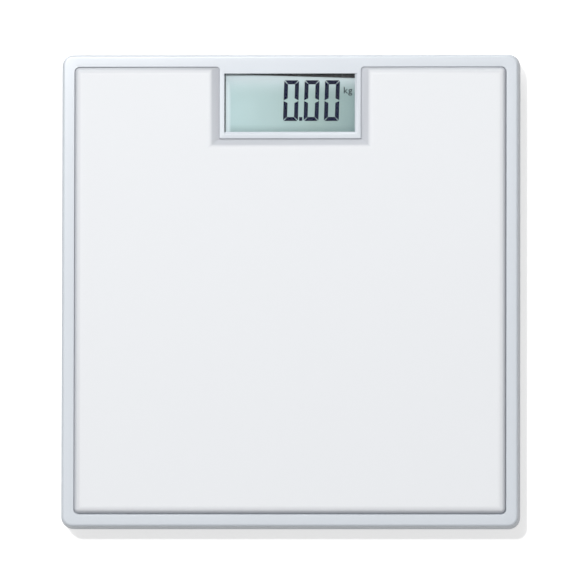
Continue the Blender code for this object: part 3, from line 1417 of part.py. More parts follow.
def battery_leads():
    """One lead from each end of the string of cells, through the bay's rear wall to the board."""
    pad_y = BOARD_FRONT + LEAD_PAD_FRONT_INSET_Y
    for name, finish, x in (
        ("battery_lead_positive", RED_PVC, BATTERY_XS[0]),
        ("battery_lead_negative", BLACK_PVC, BATTERY_XS[-1]),
    ):
        points = [
            (x, BAY_REAR, Z_BATTERY),
            (x, BLOCK_REAR + LEAD_BEND, Z_BATTERY),
            (x, pad_y - LEAD_BEND, Z_BATTERY),
            (x, pad_y, Z_PARTS - 2 * CELL_LEAD_RADIUS),
            (x, pad_y, Z_PARTS),
        ]
        lead(name, finish, BATTERY_LEAD_RADIUS, points, LEAD_BEND)


def clear_scene():
    for thing in list(bpy.data.objects):
        bpy.data.objects.remove(thing)


def main():
    clear_scene()
    platform_frame()
    tread_mat()
    display()
    circuit_board()
    chassis_plate()
    corners()
    base_cover()
    battery_door()
    for index, spot in enumerate(SCREW_SPOTS):
        base_screw(f"base_screw_{index + 1}", spot)
    batteries_and_contacts()
    cell_leads()
    battery_leads()
    print(f"least gap between the spring's turns: {spring_least_gap(spring_points()) / MM:.2f} mm")


main()
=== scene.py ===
"""The looks of a flat electronic bathroom scale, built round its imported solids.

Lengths are millimetres until a mesh is finished. +Z is up, the display is at +Y, and the origin
is on the floor under the middle of the platform.
"""

import math

import bmesh
import bpy
from mathutils import Matrix, Vector


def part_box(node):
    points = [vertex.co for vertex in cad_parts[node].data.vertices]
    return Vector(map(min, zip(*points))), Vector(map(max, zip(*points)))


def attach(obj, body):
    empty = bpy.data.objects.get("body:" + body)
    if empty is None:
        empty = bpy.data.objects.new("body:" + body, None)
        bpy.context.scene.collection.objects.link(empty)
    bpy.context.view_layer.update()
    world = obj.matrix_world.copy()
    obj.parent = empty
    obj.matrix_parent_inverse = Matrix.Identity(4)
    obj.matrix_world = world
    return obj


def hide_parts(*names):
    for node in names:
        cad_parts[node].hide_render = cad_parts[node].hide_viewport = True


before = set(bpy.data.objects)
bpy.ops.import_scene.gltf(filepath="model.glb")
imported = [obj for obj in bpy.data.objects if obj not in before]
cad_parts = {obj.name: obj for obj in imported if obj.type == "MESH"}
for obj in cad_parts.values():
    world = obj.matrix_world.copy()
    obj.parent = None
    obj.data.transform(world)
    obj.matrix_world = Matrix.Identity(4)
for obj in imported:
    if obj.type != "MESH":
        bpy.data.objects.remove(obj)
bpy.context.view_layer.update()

MM = 0.001
SAME_SPOT = 1e-7  # metres, within which new points are one
SHARP, PLAIN_SHARP = 32, 50  # degrees, over which an edge stays sharp: new pieces, kept solids

# Heights: skirt's foot, deck, groove round the tread's seat, seat, rim and top of the tread
Z_SKIRT, Z_DECK, Z_MOAT, Z_PLATEAU, Z_RIM, Z_TOP = 11.0, 28.8, 31.0, 33.0, 33.6, 35.0

# Platform moulding
HALF_X, HALF_Y = 157.5, 163.0
RIM_RADIUS = 8.0  # its corners from above
FILLET = 1.8  # round over its top edge
DRAFT = 0.9  # how far the skirt leans in
SKIRT_WALL = 2.4
EDGE = 0.35  # round over the recess's edge
RECESS_X, RECESS_Y, RECESS_RADIUS = 148.35, 153.85, 3.5
SEAT_INSET, SEAT_OFF_BEZEL, SEAT_RADIUS = 4.5, 8.0, 1.0  # the tread's raised seat in the recess

# Bezel and the opening in it. The opening's chamfer is drawn to the left and the rear, which
# makes it steep on those sides, and shallower by the given shares of that on the other two
BEZEL_LEFT, BEZEL_RIGHT, BEZEL_Y, BEZEL_ROOT, BEZEL_CORNER = -48.8, 48.5, 104.5, 2.0, 0.6
WINDOW_Y = 127.7
OPENING_LEFT, OPENING_RIGHT = -45.6, 45.9
OPENING_FRONT, OPENING_REAR = WINDOW_Y - 20.1, WINDOW_Y + 21.8
CHAMFER = 1.3
SHARE_RIGHT, SHARE_FRONT = 0.4, 0.35
Z_LEDGE = 31.4  # underside of the bezel, over the window

# Tread mat. Its gaps to the recess and the bezel differ by side, as it lies a little off centre
GAP = 0.3
LEFT_GAP, REAR_GAP, FRONT_GAP = 0.1, 0.1, 0.9
NOTCH_LEFT_GAP, NOTCH_RIGHT_GAP, NOTCH_FRONT_GAP = 0.18, 0.08, 0.1
MAT_ROUND, MAT_CROWN, MAT_CORNER = 3.0, 0.28, 3.4
MAT_SIDE, MAT_FRONT, MAT_SLOPE = 7.0, 5.8, 2.5  # slopes to the bezel: beside it, before it, depth

# Window, gasket, panel and ink
LENS_X, LENS_Y, LENS_CORNER = 46.6, 21.85, 0.5
Z_LENS, LENS_THICK = 29.6, 1.5
Z_GASKET, GASKET_THICK = 28.3, 1.0
GASKET_VIEW_X, GASKET_VIEW_FRONT = 44.9, WINDOW_Y - 19.9
# The view's rear edge is cut on a slant, so that black foam shows along the window's rear as a dark
# wedge: partly the gasket itself, partly painted shade for the shadow there.
GASKET_REAR_LEFT, GASKET_REAR_RIGHT = WINDOW_Y + 21.6, WINDOW_Y + 18.9  # cut on a slant
PANEL_X = 44.5  # half the width over which the panel's tone changes
PAINTED_GLOW_X, PAINTED_GLOW_Y = -42.0, 146.2  # where the panel's left and rear edges are painted with a glow
Z_INK, INK_THICK = 28.01, 0.03
DIGITS_X, DIGITS_Y, DIGIT_SLANT = (0.24, 14.34, 28.33), 131.0, 1.65
DOT = (5.8, 8.0, 117.1, 119.7)
LETTERS_X, LETTERS_Y, LETTERS_SIZE = 39.2, 136.0, 6.4

# Feet
FOOT_X, FOOT_Y = 119.5, 125.0
FOOT_SPOTS = {
    "front_left": (-FOOT_X, -FOOT_Y),
    "front_right": (FOOT_X, -FOOT_Y),
    "rear_left": (-FOOT_X, FOOT_Y),
    "rear_right": (FOOT_X, FOOT_Y),
}

# Turned sections as (radius, height) points from the axis out and back to it
CUP_PROFILE = [
    (0, 2.5), (16.3, 2.5), (16.3, 1.0),  # socket of the pad
    (16.5, 0.8), (17.9, 0.8), (18.5, 1.0), (18.85, 1.4), (19, 1.9), (19, 8.5),  # lip and wall
    (21.4, 8.5), (21.5, 8.6), (21.5, 9.6), (21.4, 9.7), (17, 9.7),  # flange
    (17, 5.2), (5, 5.2), (5, 11.45), (4.8, 11.65), (0, 11.65),  # inside and post
]
GROOVE_RADII = (6.2, 9.2, 12.2)
GROOVE = [(-0.8, 0), (-0.6, 0.1), (-0.4, 0.7), (0.4, 0.7), (0.6, 0.1), (0.8, 0)]
PAD_PROFILE = [
    (0, 0.5), (3.0, 0.5), (3.4, 0.1), (3.6, 0),  # dimple in the middle
    *[(radius + across, up) for radius in GROOVE_RADII for across, up in GROOVE],
    (15.4, 0), (15.8, 0.15), (16, 0.5), (16, 2.2), (0, 2.2),  # edge, wall and back
]
SCREW_LOW, SCREW_SEAT = 6.3, 8.5
SCREW_PROFILE = [
    (0, SCREW_LOW), (2.4, SCREW_LOW), (2.8, 6.42),  # head
    (3.1, 6.75), (3.2, 7.1), (3.2, SCREW_SEAT),
    (1.45, SCREW_SEAT), (1.45, SCREW_SEAT + 10.7), (0, SCREW_SEAT + 11.5),  # shank
]
CROSS_LOW, CROSS_HIGH = (-2.0, -0.32, 5.0), (2.0, 0.32, 7.5)  # corners of one bar of the cross
SCREW_TURN = 37  # degrees from one screw's cross to the next, as driving leaves them
KEY_PROFILE = [
    (0, 5.9), (2.0, 5.82), (3.4, 5.65), (4.4, 5.5), (4.8, 5.58), (5.0, 5.85),  # dished cap
    (5.0, 8.5), (6.6, 8.5), (6.6, 9.5), (2.2, 9.5),  # wall and flange; the stem follows
]

# Grip ribs of the battery door
RIB_ROWS, RIB_FIRST_Y, RIB_PITCH = 4, 47.5, 2.2
RIB_X, RIB_Y, RIB_ROUND = 7.0, 0.45, 0.3
RIB_LOW, RIB_HIGH = 5.65, 6.3


# Colours and materials

def linear(code):
    """An sRGB hex value as the linear colour that a shader reads."""
    values = [int(code[i:i + 2], 16) / 255 for i in (1, 3, 5)]
    return [v / 12.92 if v <= 0.04045 else ((v + 0.055) / 1.055) ** 2.4 for v in values] + [1.0]


def add(tree, kind, settings=None, **inputs):
    """Adds a node, sets its properties, and sets or links its inputs.

    An input is named with _ for a blank, or is _ and its number.
    """
    node = tree.nodes.new(kind)
    for name, value in (settings or {}).items():
        setattr(node, name, value)
    for name, value in inputs.items():
        numbered = name[1:].isdigit()
        socket = node.inputs[int(name[1:]) if numbered else name.replace("_", " ")]
        if isinstance(value, bpy.types.NodeSocket):
            tree.links.new(value, socket)
        else:
            socket.default_value = value
    return node


def empty_material(name):
    """A material without nodes, and its tree."""
    material = bpy.data.materials.new(name)
    material.use_nodes = True
    material.node_tree.nodes.clear()
    return material, material.node_tree


def place_on(tree, stretch=(1, 1, 1)):
    """Object coordinates in metres, stretched along one way for a brushed or drawn surface."""
    place = add(tree, "ShaderNodeTexCoord").outputs["Object"]
    return add(tree, "ShaderNodeMapping", Vector=place, Scale=stretch).outputs["Vector"]


def finish(
        name, colours, grain, height, roughness,
        stretch=(1, 1, 1), cloud=25.0, lower=None, **shader):
    """A surface of two near colours in soft clouds, with a fine grain of the given size and height.

    grain and cloud are sizes in millimetres, and height is how deep the grain is. lower is what
    the piece takes on lower down: a darker colour of painted shade or None, a roughness or None,
    and the two heights between which it does.
    """
    material, tree = empty_material(name)
    place = place_on(tree, stretch)
    clouds = add(tree, "ShaderNodeTexNoise", Vector=place, Scale=1 / (cloud * MM), Detail=3.0)
    fine = add(tree, "ShaderNodeTexNoise", Vector=place, Scale=1 / (grain * MM), Detail=2.0)
    colour = add(
        tree,
        "ShaderNodeMix",
        {"data_type": "RGBA"},
        _0=clouds.outputs["Fac"],
        _6=linear(colours[0]),
        _7=linear(colours[1]),
    ).outputs[2]
    gloss = add(
        tree,
        "ShaderNodeMapRange",
        Value=fine.outputs["Fac"],
        To_Min=roughness[0],
        To_Max=roughness[1],
    ).outputs["Result"]
    if lower:
        painted_shade, matt, start, end = lower
        fallen = add(
            tree,
            "ShaderNodeMapRange",
            Value=add(tree, "ShaderNodeSeparateXYZ", Vector=place).outputs["Z"],
            From_Min=start * MM,
            From_Max=end * MM,
        ).outputs["Result"]
        # Painted shade: lower down the piece is drawn darker, towards the given colour.
        if painted_shade:
            colour = add(
                tree,
                "ShaderNodeMix",
                {"data_type": "RGBA"},
                _0=fallen,
                _6=colour,
                _7=linear(painted_shade),
            ).outputs[2]
        if matt:
            gloss = add(tree, "ShaderNodeMix", _0=fallen, _2=gloss, _3=matt).outputs[0]
    relief = add(
        tree, "ShaderNodeBump", Height=fine.outputs["Fac"], Distance=height * MM, Strength=1.0)
    surface = add(
        tree,
        "ShaderNodeBsdfPrincipled",
        Base_Color=colour,
        Roughness=gloss,
        Normal=relief.outputs["Normal"],
        **shader,
    )
    add(tree, "ShaderNodeOutputMaterial", Surface=surface.outputs["BSDF"])
    return material


# Real moulding and rolling grain is 0.05 to 0.3 mm and wouldn't show at 0.7 mm a pixel, so the
# grains are drawn 0.4 mm and more

# Pearl ABS, injection moulded, satin above and blasted down the skirt: a cool silvery white that
# picks up the softbox along its edges
pearl_abs = finish(
    "pearl_abs_satin", ("#C8CED5", "#C5CBD2"), grain=0.9, height=0.004, roughness=(0.23, 0.28),
    cloud=60.0, lower=(None, 0.5, Z_RIM - FILLET, Z_RIM - FILLET - 0.8), IOR=1.52)

# Thermoplastic rubber of the tread, moulded against a blasted tool: dead matt and evenly pale.
# Where it falls away to the bezel and the rim it is painted greyer, a painted shade for those
# slopes
tread_rubber = finish(
    "tread_rubber_matt", ("#E6E8EB", "#E5E7EA"), grain=0.8, height=0.012, roughness=(0.76, 0.86),
    cloud=80.0, lower=("#BBBEC4", None, Z_TOP - 0.02, Z_TOP - 0.9), IOR=1.51)

# ABS of the base cover and door, moulded against a spark-eroded tool: a coarse even grain
base_abs = finish(
    "base_abs_spark", ("#E3E5E8", "#DDE0E4"), grain=0.9, height=0.030, roughness=(0.40, 0.52),
    cloud=45.0, IOR=1.52)

# Uncoloured ABS of holders and foot cups, plainly moulded: milky, with faint flow clouds
natural_abs = finish(
    "natural_abs_plain", ("#D9DBDD", "#D1D3D4"), grain=1.2, height=0.008, roughness=(0.40, 0.48),
    cloud=14.0, IOR=1.52)

# Nitrile rubber of the foot pads, moulded and talc-dusted: near black with a grey bloom
black_rubber = finish(
    "nitrile_rubber_black", ("#232427", "#34363A"), grain=0.7, height=0.020, roughness=(0.72, 0.86),
    cloud=5.0, IOR=1.52)

# Silicone rubber of the key and the contact strips, moulded: mid grey and soft looking
grey_rubber = finish(
    "silicone_rubber_grey", ("#7E8388", "#777C82"), grain=0.6, height=0.010, roughness=(0.60, 0.72),
    cloud=6.0, IOR=1.41)

# Polyethylene foam of the gasket, cut from sheet: open black cells
black_foam = finish(
    "foam_black", ("#1B1B1E", "#2A2A2E"), grain=0.5, height=0.060, roughness=(0.88, 0.96),
    cloud=1.2, IOR=1.5)

# Solder-masked glass laminate of the board: green, with the glass weave as a faint ripple
board_laminate = finish(
    "board_laminate_green", ("#1F5A3C", "#256645"), grain=0.8, height=0.010, roughness=(0.32, 0.44),
    cloud=9.0, IOR=1.55)

# Epoxy over the chip, in the switch body and its plunger: cast black, slightly glossy
black_epoxy = finish(
    "epoxy_black", ("#141416", "#1D1D20"), grain=0.9, height=0.010, roughness=(0.28, 0.42),
    cloud=4.0, IOR=1.55)

# Nickel plate on spring strip: bright, with fine lines along the strip from rolling
nickel_plate = finish(
    "nickel_plate_rolled", ("#C9C7C0", "#BDBAB2"), grain=0.5, height=0.004, roughness=(0.20, 0.32),
    stretch=(1, 1, 0.08), cloud=8.0, Metallic=1.0)

# Zinc-plated steel of the chassis and screws: pale grey, in faint blue and yellow clouds from
# the passivate
zinc_steel = finish(
    "zinc_plated_steel", ("#B9BDC1", "#B4B3AA"), grain=0.7, height=0.006, roughness=(0.30, 0.44),
    stretch=(0.12, 1, 1), cloud=16.0, Metallic=1.0)

# Spring steel of the load cells, ground and lightly oiled: fine straight grinding lines
cell_steel = finish(
    "spring_steel_ground", ("#A8ACB0", "#9A9EA2"), grain=0.4, height=0.008, roughness=(0.24, 0.36),
    stretch=(0.06, 1, 1), cloud=10.0, Metallic=1.0)

# Silicone coating over the strain gauges, dabbed on by hand: white with soft lumps
white_silicone = finish(
    "silicone_white", ("#F2F2EE", "#E8E8E2"), grain=2.2, height=0.120, roughness=(0.40, 0.52),
    cloud=3.0, IOR=1.41)

# Shrink sleeve on the batteries and the capacitor, printed slate all over: a soft shine
printed_sleeve = finish(
    "shrink_sleeve_slate", ("#3C4650", "#333C45"), grain=1.6, height=0.010, roughness=(0.26, 0.38),
    cloud=12.0, IOR=1.54)

# Plasticised PVC on the leads, extruded: smooth with a faint drag pattern
grey_pvc = finish(
    "pvc_grey", ("#8F9499", "#858A8F"), grain=0.6, height=0.008, roughness=(0.42, 0.54),
    cloud=7.0, IOR=1.53)
red_pvc = finish(
    "pvc_red", ("#B22A24", "#A62620"), grain=0.6, height=0.008, roughness=(0.42, 0.54),
    cloud=7.0, IOR=1.53)
black_pvc = finish(
    "pvc_black", ("#1D1D1F", "#27272A"), grain=0.6, height=0.008, roughness=(0.42, 0.54),
    cloud=7.0, IOR=1.53)

# Dye in the display's dark segments: blue-black in faint clouds, and without gloss
segment_ink = finish(
    "display_segment_ink", ("#101840", "#060A20"), grain=1.0, height=0.002, roughness=(0.5, 0.6),
    cloud=9.0, Specular_IOR_Level=0.0)

# The same dye under the thin unit letters, which the eye sees paler because they are fine
letter_ink = finish(
    "display_letter_ink", ("#182830", "#142026"), grain=1.0, height=0.002, roughness=(0.5, 0.6),
    cloud=6.0, Specular_IOR_Level=0.0)


def clear_acrylic():
    """Acrylic window, cast and polished: clear, with a sharp skin, and open to the lamps.

    Its IOR is under acrylic's own 1.49, to match the faint shine in the photograph.
    """
    haze_size = 30
    material, tree = empty_material("acrylic_clear_polished")
    haze = add(
        tree, "ShaderNodeTexNoise", Vector=place_on(tree), Scale=1 / (haze_size * MM), Detail=2.0)
    tint = add(
        tree,
        "ShaderNodeMix",
        {"data_type": "RGBA"},
        _0=haze.outputs["Fac"],
        _6=linear("#FBFDFC"),
        _7=linear("#F4F9F8"),
    )
    body = add(
        tree,
        "ShaderNodeBsdfPrincipled",
        Base_Color=tint.outputs[2],
        Roughness=0.0,
        IOR=1.25,
        Transmission_Weight=1.0,
    )
    passed = add(tree, "ShaderNodeBsdfTransparent")
    ray = add(tree, "ShaderNodeLightPath")
    either = add(
        tree,
        "ShaderNodeMath",
        {"operation": "MAXIMUM"},
        _0=ray.outputs["Is Shadow Ray"],
        _1=ray.outputs["Is Diffuse Ray"],
    )
    mixed = add(
        tree,
        "ShaderNodeMixShader",
        _0=either.outputs[0],
        _1=body.outputs["BSDF"],
        _2=passed.outputs["BSDF"],
    )
    add(tree, "ShaderNodeOutputMaterial", Surface=mixed.outputs["Shader"])
    return material


def panel_glass():
    """Polariser and reflector behind glass: grey-green, and paler to the left.

    Its left and rear edges are painted near white, a painted glow for light carried in by the
    glass, and its front is painted darker, a painted shade.
    """
    cloud_size, drift = 18, 0.16
    left_start, left_full, left_strength = PAINTED_GLOW_X + 1.2, PAINTED_GLOW_X - 0.8, 0.88
    rear_start, rear_full, rear_power = PAINTED_GLOW_Y - 14.4, PAINTED_GLOW_Y + 0.3, 2.6
    front_start, front_full, front_strength = PAINTED_GLOW_Y - 31.5, PAINTED_GLOW_Y - 35.5, 0.36
    stops = ((0.0, "#C0D8DA"), (0.35, "#B5CBCC"), (0.7, "#A5BAB8"), (1.0, "#92A7A8"))

    material, tree = empty_material("display_glass_polarised")
    place = place_on(tree)
    split = add(tree, "ShaderNodeSeparateXYZ", Vector=place)
    across = add(
        tree,
        "ShaderNodeMapRange",
        Value=split.outputs["X"],
        From_Min=-PANEL_X * MM,
        From_Max=PANEL_X * MM,
    )
    cloud = add(
        tree, "ShaderNodeTexNoise", Vector=place, Scale=1 / (cloud_size * MM), Detail=2.0)
    drifting = add(
        tree,
        "ShaderNodeMath",
        {"operation": "MULTIPLY_ADD"},
        _0=cloud.outputs["Fac"],
        _1=drift,
        _2=-drift / 2,
    )
    spread = add(tree, "ShaderNodeMath", _0=across.outputs["Result"], _1=drifting.outputs[0])
    ramp = add(tree, "ShaderNodeValToRGB", Fac=spread.outputs[0])
    band = ramp.color_ramp.elements
    band[0].position, band[0].color = stops[0][0], linear(stops[0][1])
    band[1].position, band[1].color = stops[-1][0], linear(stops[-1][1])
    for position, code in stops[1:-1]:
        band.new(position).color = linear(code)
    # Painted shade: the panel is drawn darker towards its front edge.
    front = add(
        tree,
        "ShaderNodeMapRange",
        Value=split.outputs["Y"],
        From_Min=front_start * MM,
        From_Max=front_full * MM,
        To_Max=front_strength,
    )
    front_painted_shade = add(
        tree,
        "ShaderNodeMix",
        {"data_type": "RGBA"},
        _0=front.outputs["Result"],
        _6=ramp.outputs["Color"],
        _7=linear("#7C9092"),
    )
    # Painted glow: the left and rear edges are drawn near white.
    left = add(
        tree,
        "ShaderNodeMapRange",
        Value=split.outputs["X"],
        From_Min=left_start * MM,
        From_Max=left_full * MM,
        To_Max=left_strength,
    )
    rear = add(
        tree,
        "ShaderNodeMapRange",
        Value=split.outputs["Y"],
        From_Min=rear_start * MM,
        From_Max=rear_full * MM,
    )
    growing = add(
        tree,
        "ShaderNodeMath",
        {"operation": "POWER"},
        _0=rear.outputs["Result"],
        _1=rear_power,
    )
    painted_glow = add(
        tree,
        "ShaderNodeMath",
        {"operation": "MAXIMUM"},
        _0=left.outputs["Result"],
        _1=growing.outputs[0],
    )
    with_painted_glow = add(
        tree,
        "ShaderNodeMix",
        {"data_type": "RGBA"},
        _0=painted_glow.outputs[0],
        _6=front_painted_shade.outputs[2],
        _7=linear("#EEFAFF"),
    )
    surface = add(
        tree,
        "ShaderNodeBsdfPrincipled",
        Base_Color=with_painted_glow.outputs[2],
        Roughness=0.5,
        Specular_IOR_Level=0.0,
    )
    add(tree, "ShaderNodeOutputMaterial", Surface=surface.outputs["BSDF"])
    return material


acrylic = clear_acrylic()
lcd_glass = panel_glass()


# Shaping tools

def new_object(name, data):
    """An object of its own in the scene, at the origin."""
    made = bpy.data.objects.new(name, data)
    bpy.context.scene.collection.objects.link(made)
    return made


def oblong(left, right, front, rear):
    """Its corners, anticlockwise from the front left one."""
    return [(left, front), (right, front), (right, rear), (left, rear)]


def centred(half_x, half_y, centre_y=0.0):
    """Corners of an oblong over the middle of the scale."""
    return oblong(-half_x, half_x, centre_y - half_y, centre_y + half_y)


def plate(bm, corners, z, radii, steps=8, under=False):
    """A flat face through the corners, each rounded to its radius, facing up, or down if under."""
    before = set(bm.faces)
    if under:
        corners, radii = corners[::-1], radii[::-1]
    verts = [bm.verts.new((x * MM, y * MM, z * MM)) for x, y in corners]
    bm.faces.new(verts)
    for radius in sorted(set(radii) - {0}):
        group = [vert for vert, its in zip(verts, radii) if its == radius]
        bmesh.ops.bevel(
            bm,
            geom=group,
            offset=radius * MM,
            segments=steps,
            profile=0.5,
            affect="VERTICES",
            material=-1,
        )
    face, = set(bm.faces) - before
    face.normal_update()
    return face


def climb(bm, face, steps):
    """Draws the face in and lifts it, step by step, leaving a wall behind it."""
    facing = math.copysign(1, face.normal.z)
    for inwards, upwards in steps:
        bmesh.ops.inset_region(
            bm,
            faces=[face],
            thickness=inwards * MM,
            depth=facing * upwards * MM,
            use_even_offset=True,
            use_boundary=True,
        )


def quarter(radius, steps, over=True):
    """Inset and lift for each step of a quarter round: over a top edge, or up from a bottom one."""
    angles = [math.pi / 2 * step / steps for step in range(steps + 1)]
    lies = [
        (radius * (math.cos(a) - math.cos(b)), radius * (math.sin(b) - math.sin(a)))
        for a, b in zip(angles, angles[1:])
    ]
    return lies if over else [(y, x) for x, y in lies]


def of_kind(made, kind):
    """The points, edges or faces among what an operator made."""
    return [part for part in made["geom"] if isinstance(part, kind)]


def thicken(bm, faces, height):
    """Draws flat faces up into solids, or down where the height is below nought."""
    made = bmesh.ops.extrude_face_region(bm, geom=faces)
    bmesh.ops.translate(bm, verts=of_kind(made, bmesh.types.BMVert), vec=(0, 0, height * MM))


def drop(bm, face):
    """Takes a face away and leaves its edges."""
    bmesh.ops.delete(bm, geom=[face], context="FACES_ONLY")


def close_level(bm, z, facing=1):
    """Fills between the open rings that lie at one height, facing up or down."""
    within = 1e-6  # metres
    rings = [
        edge for edge in bm.edges
        if edge.is_boundary and all(abs(vert.co.z - z * MM) < within for vert in edge.verts)
    ]
    made = bmesh.ops.triangle_fill(bm, edges=rings, use_beauty=True, normal=(0, 0, facing))
    for face in of_kind(made, bmesh.types.BMFace):
        face.normal_update()
        if face.normal.z * facing < 0:
            face.normal_flip()


def lathe(bm, profile, centre=(0.0, 0.0), steps=64):
    """Spins a profile of (radius, height) points a full turn about an upright axis."""
    verts = [bm.verts.new(((centre[0] + r) * MM, centre[1] * MM, z * MM)) for r, z in profile]
    edges = [bm.edges.new(pair) for pair in zip(verts, verts[1:])]
    bmesh.ops.spin(
        bm,
        geom=verts + edges,
        cent=(centre[0] * MM, centre[1] * MM, 0),
        axis=(0, 0, 1),
        angle=2 * math.pi,
        steps=steps,
        use_merge=True,
    )


def block(bm, low, high):
    """A plain box between two corners, returned as its points."""
    made = bmesh.ops.create_cube(bm, size=1.0)["verts"]
    bmesh.ops.scale(bm, verts=made, vec=[(b - a) * MM for a, b in zip(low, high)])
    bmesh.ops.translate(bm, verts=made, vec=[(a + b) / 2 * MM for a, b in zip(low, high)])
    return made


def to_object(name, bm, sharp=SHARP, turn_out=True):
    """Closes a bmesh off as an object: doubles merged, and edges over the angle kept sharp.

    Faces are turned outwards, unless they were laid so from the start.
    """
    bmesh.ops.remove_doubles(bm, verts=bm.verts[:], dist=SAME_SPOT)
    if turn_out:
        bmesh.ops.recalc_face_normals(bm, faces=bm.faces[:])
    for face in bm.faces:
        face.smooth = True
    for edge in bm.edges:
        even = edge.calc_face_angle(0) < math.radians(sharp)
        edge.smooth = len(edge.link_faces) == 2 and even
    mesh = bpy.data.meshes.new(name)
    bm.to_mesh(mesh)
    bm.free()
    return new_object(name, mesh)


def fit(made, material, body, nodes=()):
    """Gives a piece its finish, the body that it moves with and the nodes that it stands for."""
    made.data.materials.clear()
    made.data.materials.append(material)
    weighted = made.modifiers.new("even_shading", "WEIGHTED_NORMAL")
    weighted.keep_sharp = True
    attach(made, body)
    if nodes:
        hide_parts(*nodes)


def carve(made, cutter, crossing=False):
    """Cuts one object's shape out of another for good. The cutter may cross itself, and goes."""
    modifier = made.modifiers.new("carve", "BOOLEAN")
    modifier.operation = "DIFFERENCE"
    modifier.solver = "EXACT"
    modifier.use_self = crossing
    modifier.object = cutter
    graph = bpy.context.evaluated_depsgraph_get()
    mesh = bpy.data.meshes.new_from_object(made.evaluated_get(graph))
    made.modifiers.clear()
    made.data = mesh
    bpy.data.objects.remove(cutter)


def softened(node, material, body, width, sharp=SHARP):
    """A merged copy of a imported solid, its edges eased as moulding, pressing or wear does."""
    packed_spot, flat, eased_from = 2e-6, 0.5, 40
    bm = bmesh.new()
    bm.from_mesh(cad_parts[node].data)
    bmesh.ops.remove_doubles(bm, verts=bm.verts[:], dist=packed_spot)
    bmesh.ops.dissolve_limit(
        bm, angle_limit=math.radians(flat), verts=bm.verts[:], edges=bm.edges[:])
    made = to_object(node + "_dressed", bm, sharp)
    if width:
        eased = made.modifiers.new("eased_edges", "BEVEL")
        eased.width = width * MM
        eased.segments = 2
        eased.limit_method = "ANGLE"
        eased.angle_limit = math.radians(eased_from)
        eased.use_clamp_overlap = True
    fit(made, material, body, [node])


# Platform: rim, deck and bezel in one moulding

def tread_corners(inset, notch):
    """Corners of the tread's recess, drawn in from the rim and kept off the bezel."""
    x, y = RECESS_X - inset, RECESS_Y - inset
    left, right, front = BEZEL_LEFT - notch, BEZEL_RIGHT + notch, BEZEL_Y - notch
    return [
        (-x, -y), (x, -y), (x, y), (right, y),
        (right, front), (left, front), (left, y), (-x, y),
    ]


def build_platform():
    """The moulding from the outside in: shell, recess, opening, window's room, seat and cavity."""
    bm = bmesh.new()
    shell = plate(bm, centred(HALF_X, HALF_Y), Z_SKIRT, [RIM_RADIUS] * 4, steps=16)
    wall = Z_RIM - FILLET - Z_SKIRT
    climb(bm, shell, [(0.0, wall / 2), (DRAFT, wall / 2)] + quarter(FILLET, steps=8))
    drop(bm, shell)

    outer, root, corner = RECESS_RADIUS + EDGE, BEZEL_ROOT + EDGE, BEZEL_CORNER - EDGE
    radii = [outer, outer, outer, root, corner, corner, root, outer]
    recess = plate(bm, tread_corners(-EDGE, -EDGE), Z_RIM, radii, steps=6)
    rounded = [(sideways, -down) for sideways, down in quarter(EDGE, steps=3, over=False)]
    climb(bm, recess, rounded + [(0.0, -(Z_RIM - EDGE - Z_MOAT))])
    drop(bm, recess)

    sides = oblong(OPENING_LEFT, OPENING_RIGHT, OPENING_FRONT, OPENING_REAR)
    opening = plate(bm, sides, Z_RIM, [0] * 4)
    # Width and fall of the broken upper edge, the chamfer and the broken lower edge, and how far
    # each is drawn to the left and the rear
    broken, upper_fall, lower_fall = 0.1, 0.03, 0.15
    for width, fall, drawn in (
            (broken, upper_fall, 0.0),
            (CHAMFER - 2 * broken, CHAMFER - broken, CHAMFER - 3 * broken),
            (broken, lower_fall, broken / 2)):
        climb(bm, opening, [(width, -fall)])
        for vert in opening.verts:
            left, rear = vert.co.x < 0, vert.co.y > WINDOW_Y * MM
            vert.co.x -= (drawn if left else drawn * SHARE_RIGHT) * MM
            vert.co.y += (drawn if rear else drawn * SHARE_FRONT) * MM
    fallen = upper_fall + CHAMFER - broken + lower_fall
    climb(bm, opening, [(0.0, -(Z_RIM - fallen - Z_LEDGE))])
    drop(bm, opening)
    close_level(bm, Z_RIM)

    room = centred(LENS_X + GAP, LENS_Y + GAP, WINDOW_Y)
    seat = plate(bm, room, Z_LEDGE, [LENS_CORNER] * 4, steps=4)
    climb(bm, seat, [(0.0, -(Z_LEDGE - Z_DECK))])
    drop(bm, seat)
    close_level(bm, Z_LEDGE, -1)

    raised = plate(
        bm, tread_corners(SEAT_INSET, SEAT_OFF_BEZEL), Z_MOAT, [SEAT_RADIUS] * 8, steps=3)
    climb(bm, raised, [(0.0, Z_PLATEAU - Z_MOAT)])
    close_level(bm, Z_MOAT)

    inner = centred(HALF_X - SKIRT_WALL, HALF_Y - SKIRT_WALL)
    cavity = plate(bm, inner, Z_SKIRT, [RIM_RADIUS - SKIRT_WALL] * 4, under=True)
    climb(bm, cavity, [(DRAFT, Z_DECK - Z_SKIRT)])
    drop(bm, cavity)
    close_level(bm, Z_SKIRT, -1)
    close_level(bm, Z_DECK, -1)
    platform = to_object("platform", bm, turn_out=False)
    fit(platform, pearl_abs, "housing", ["platform_frame"])


# Tread mat

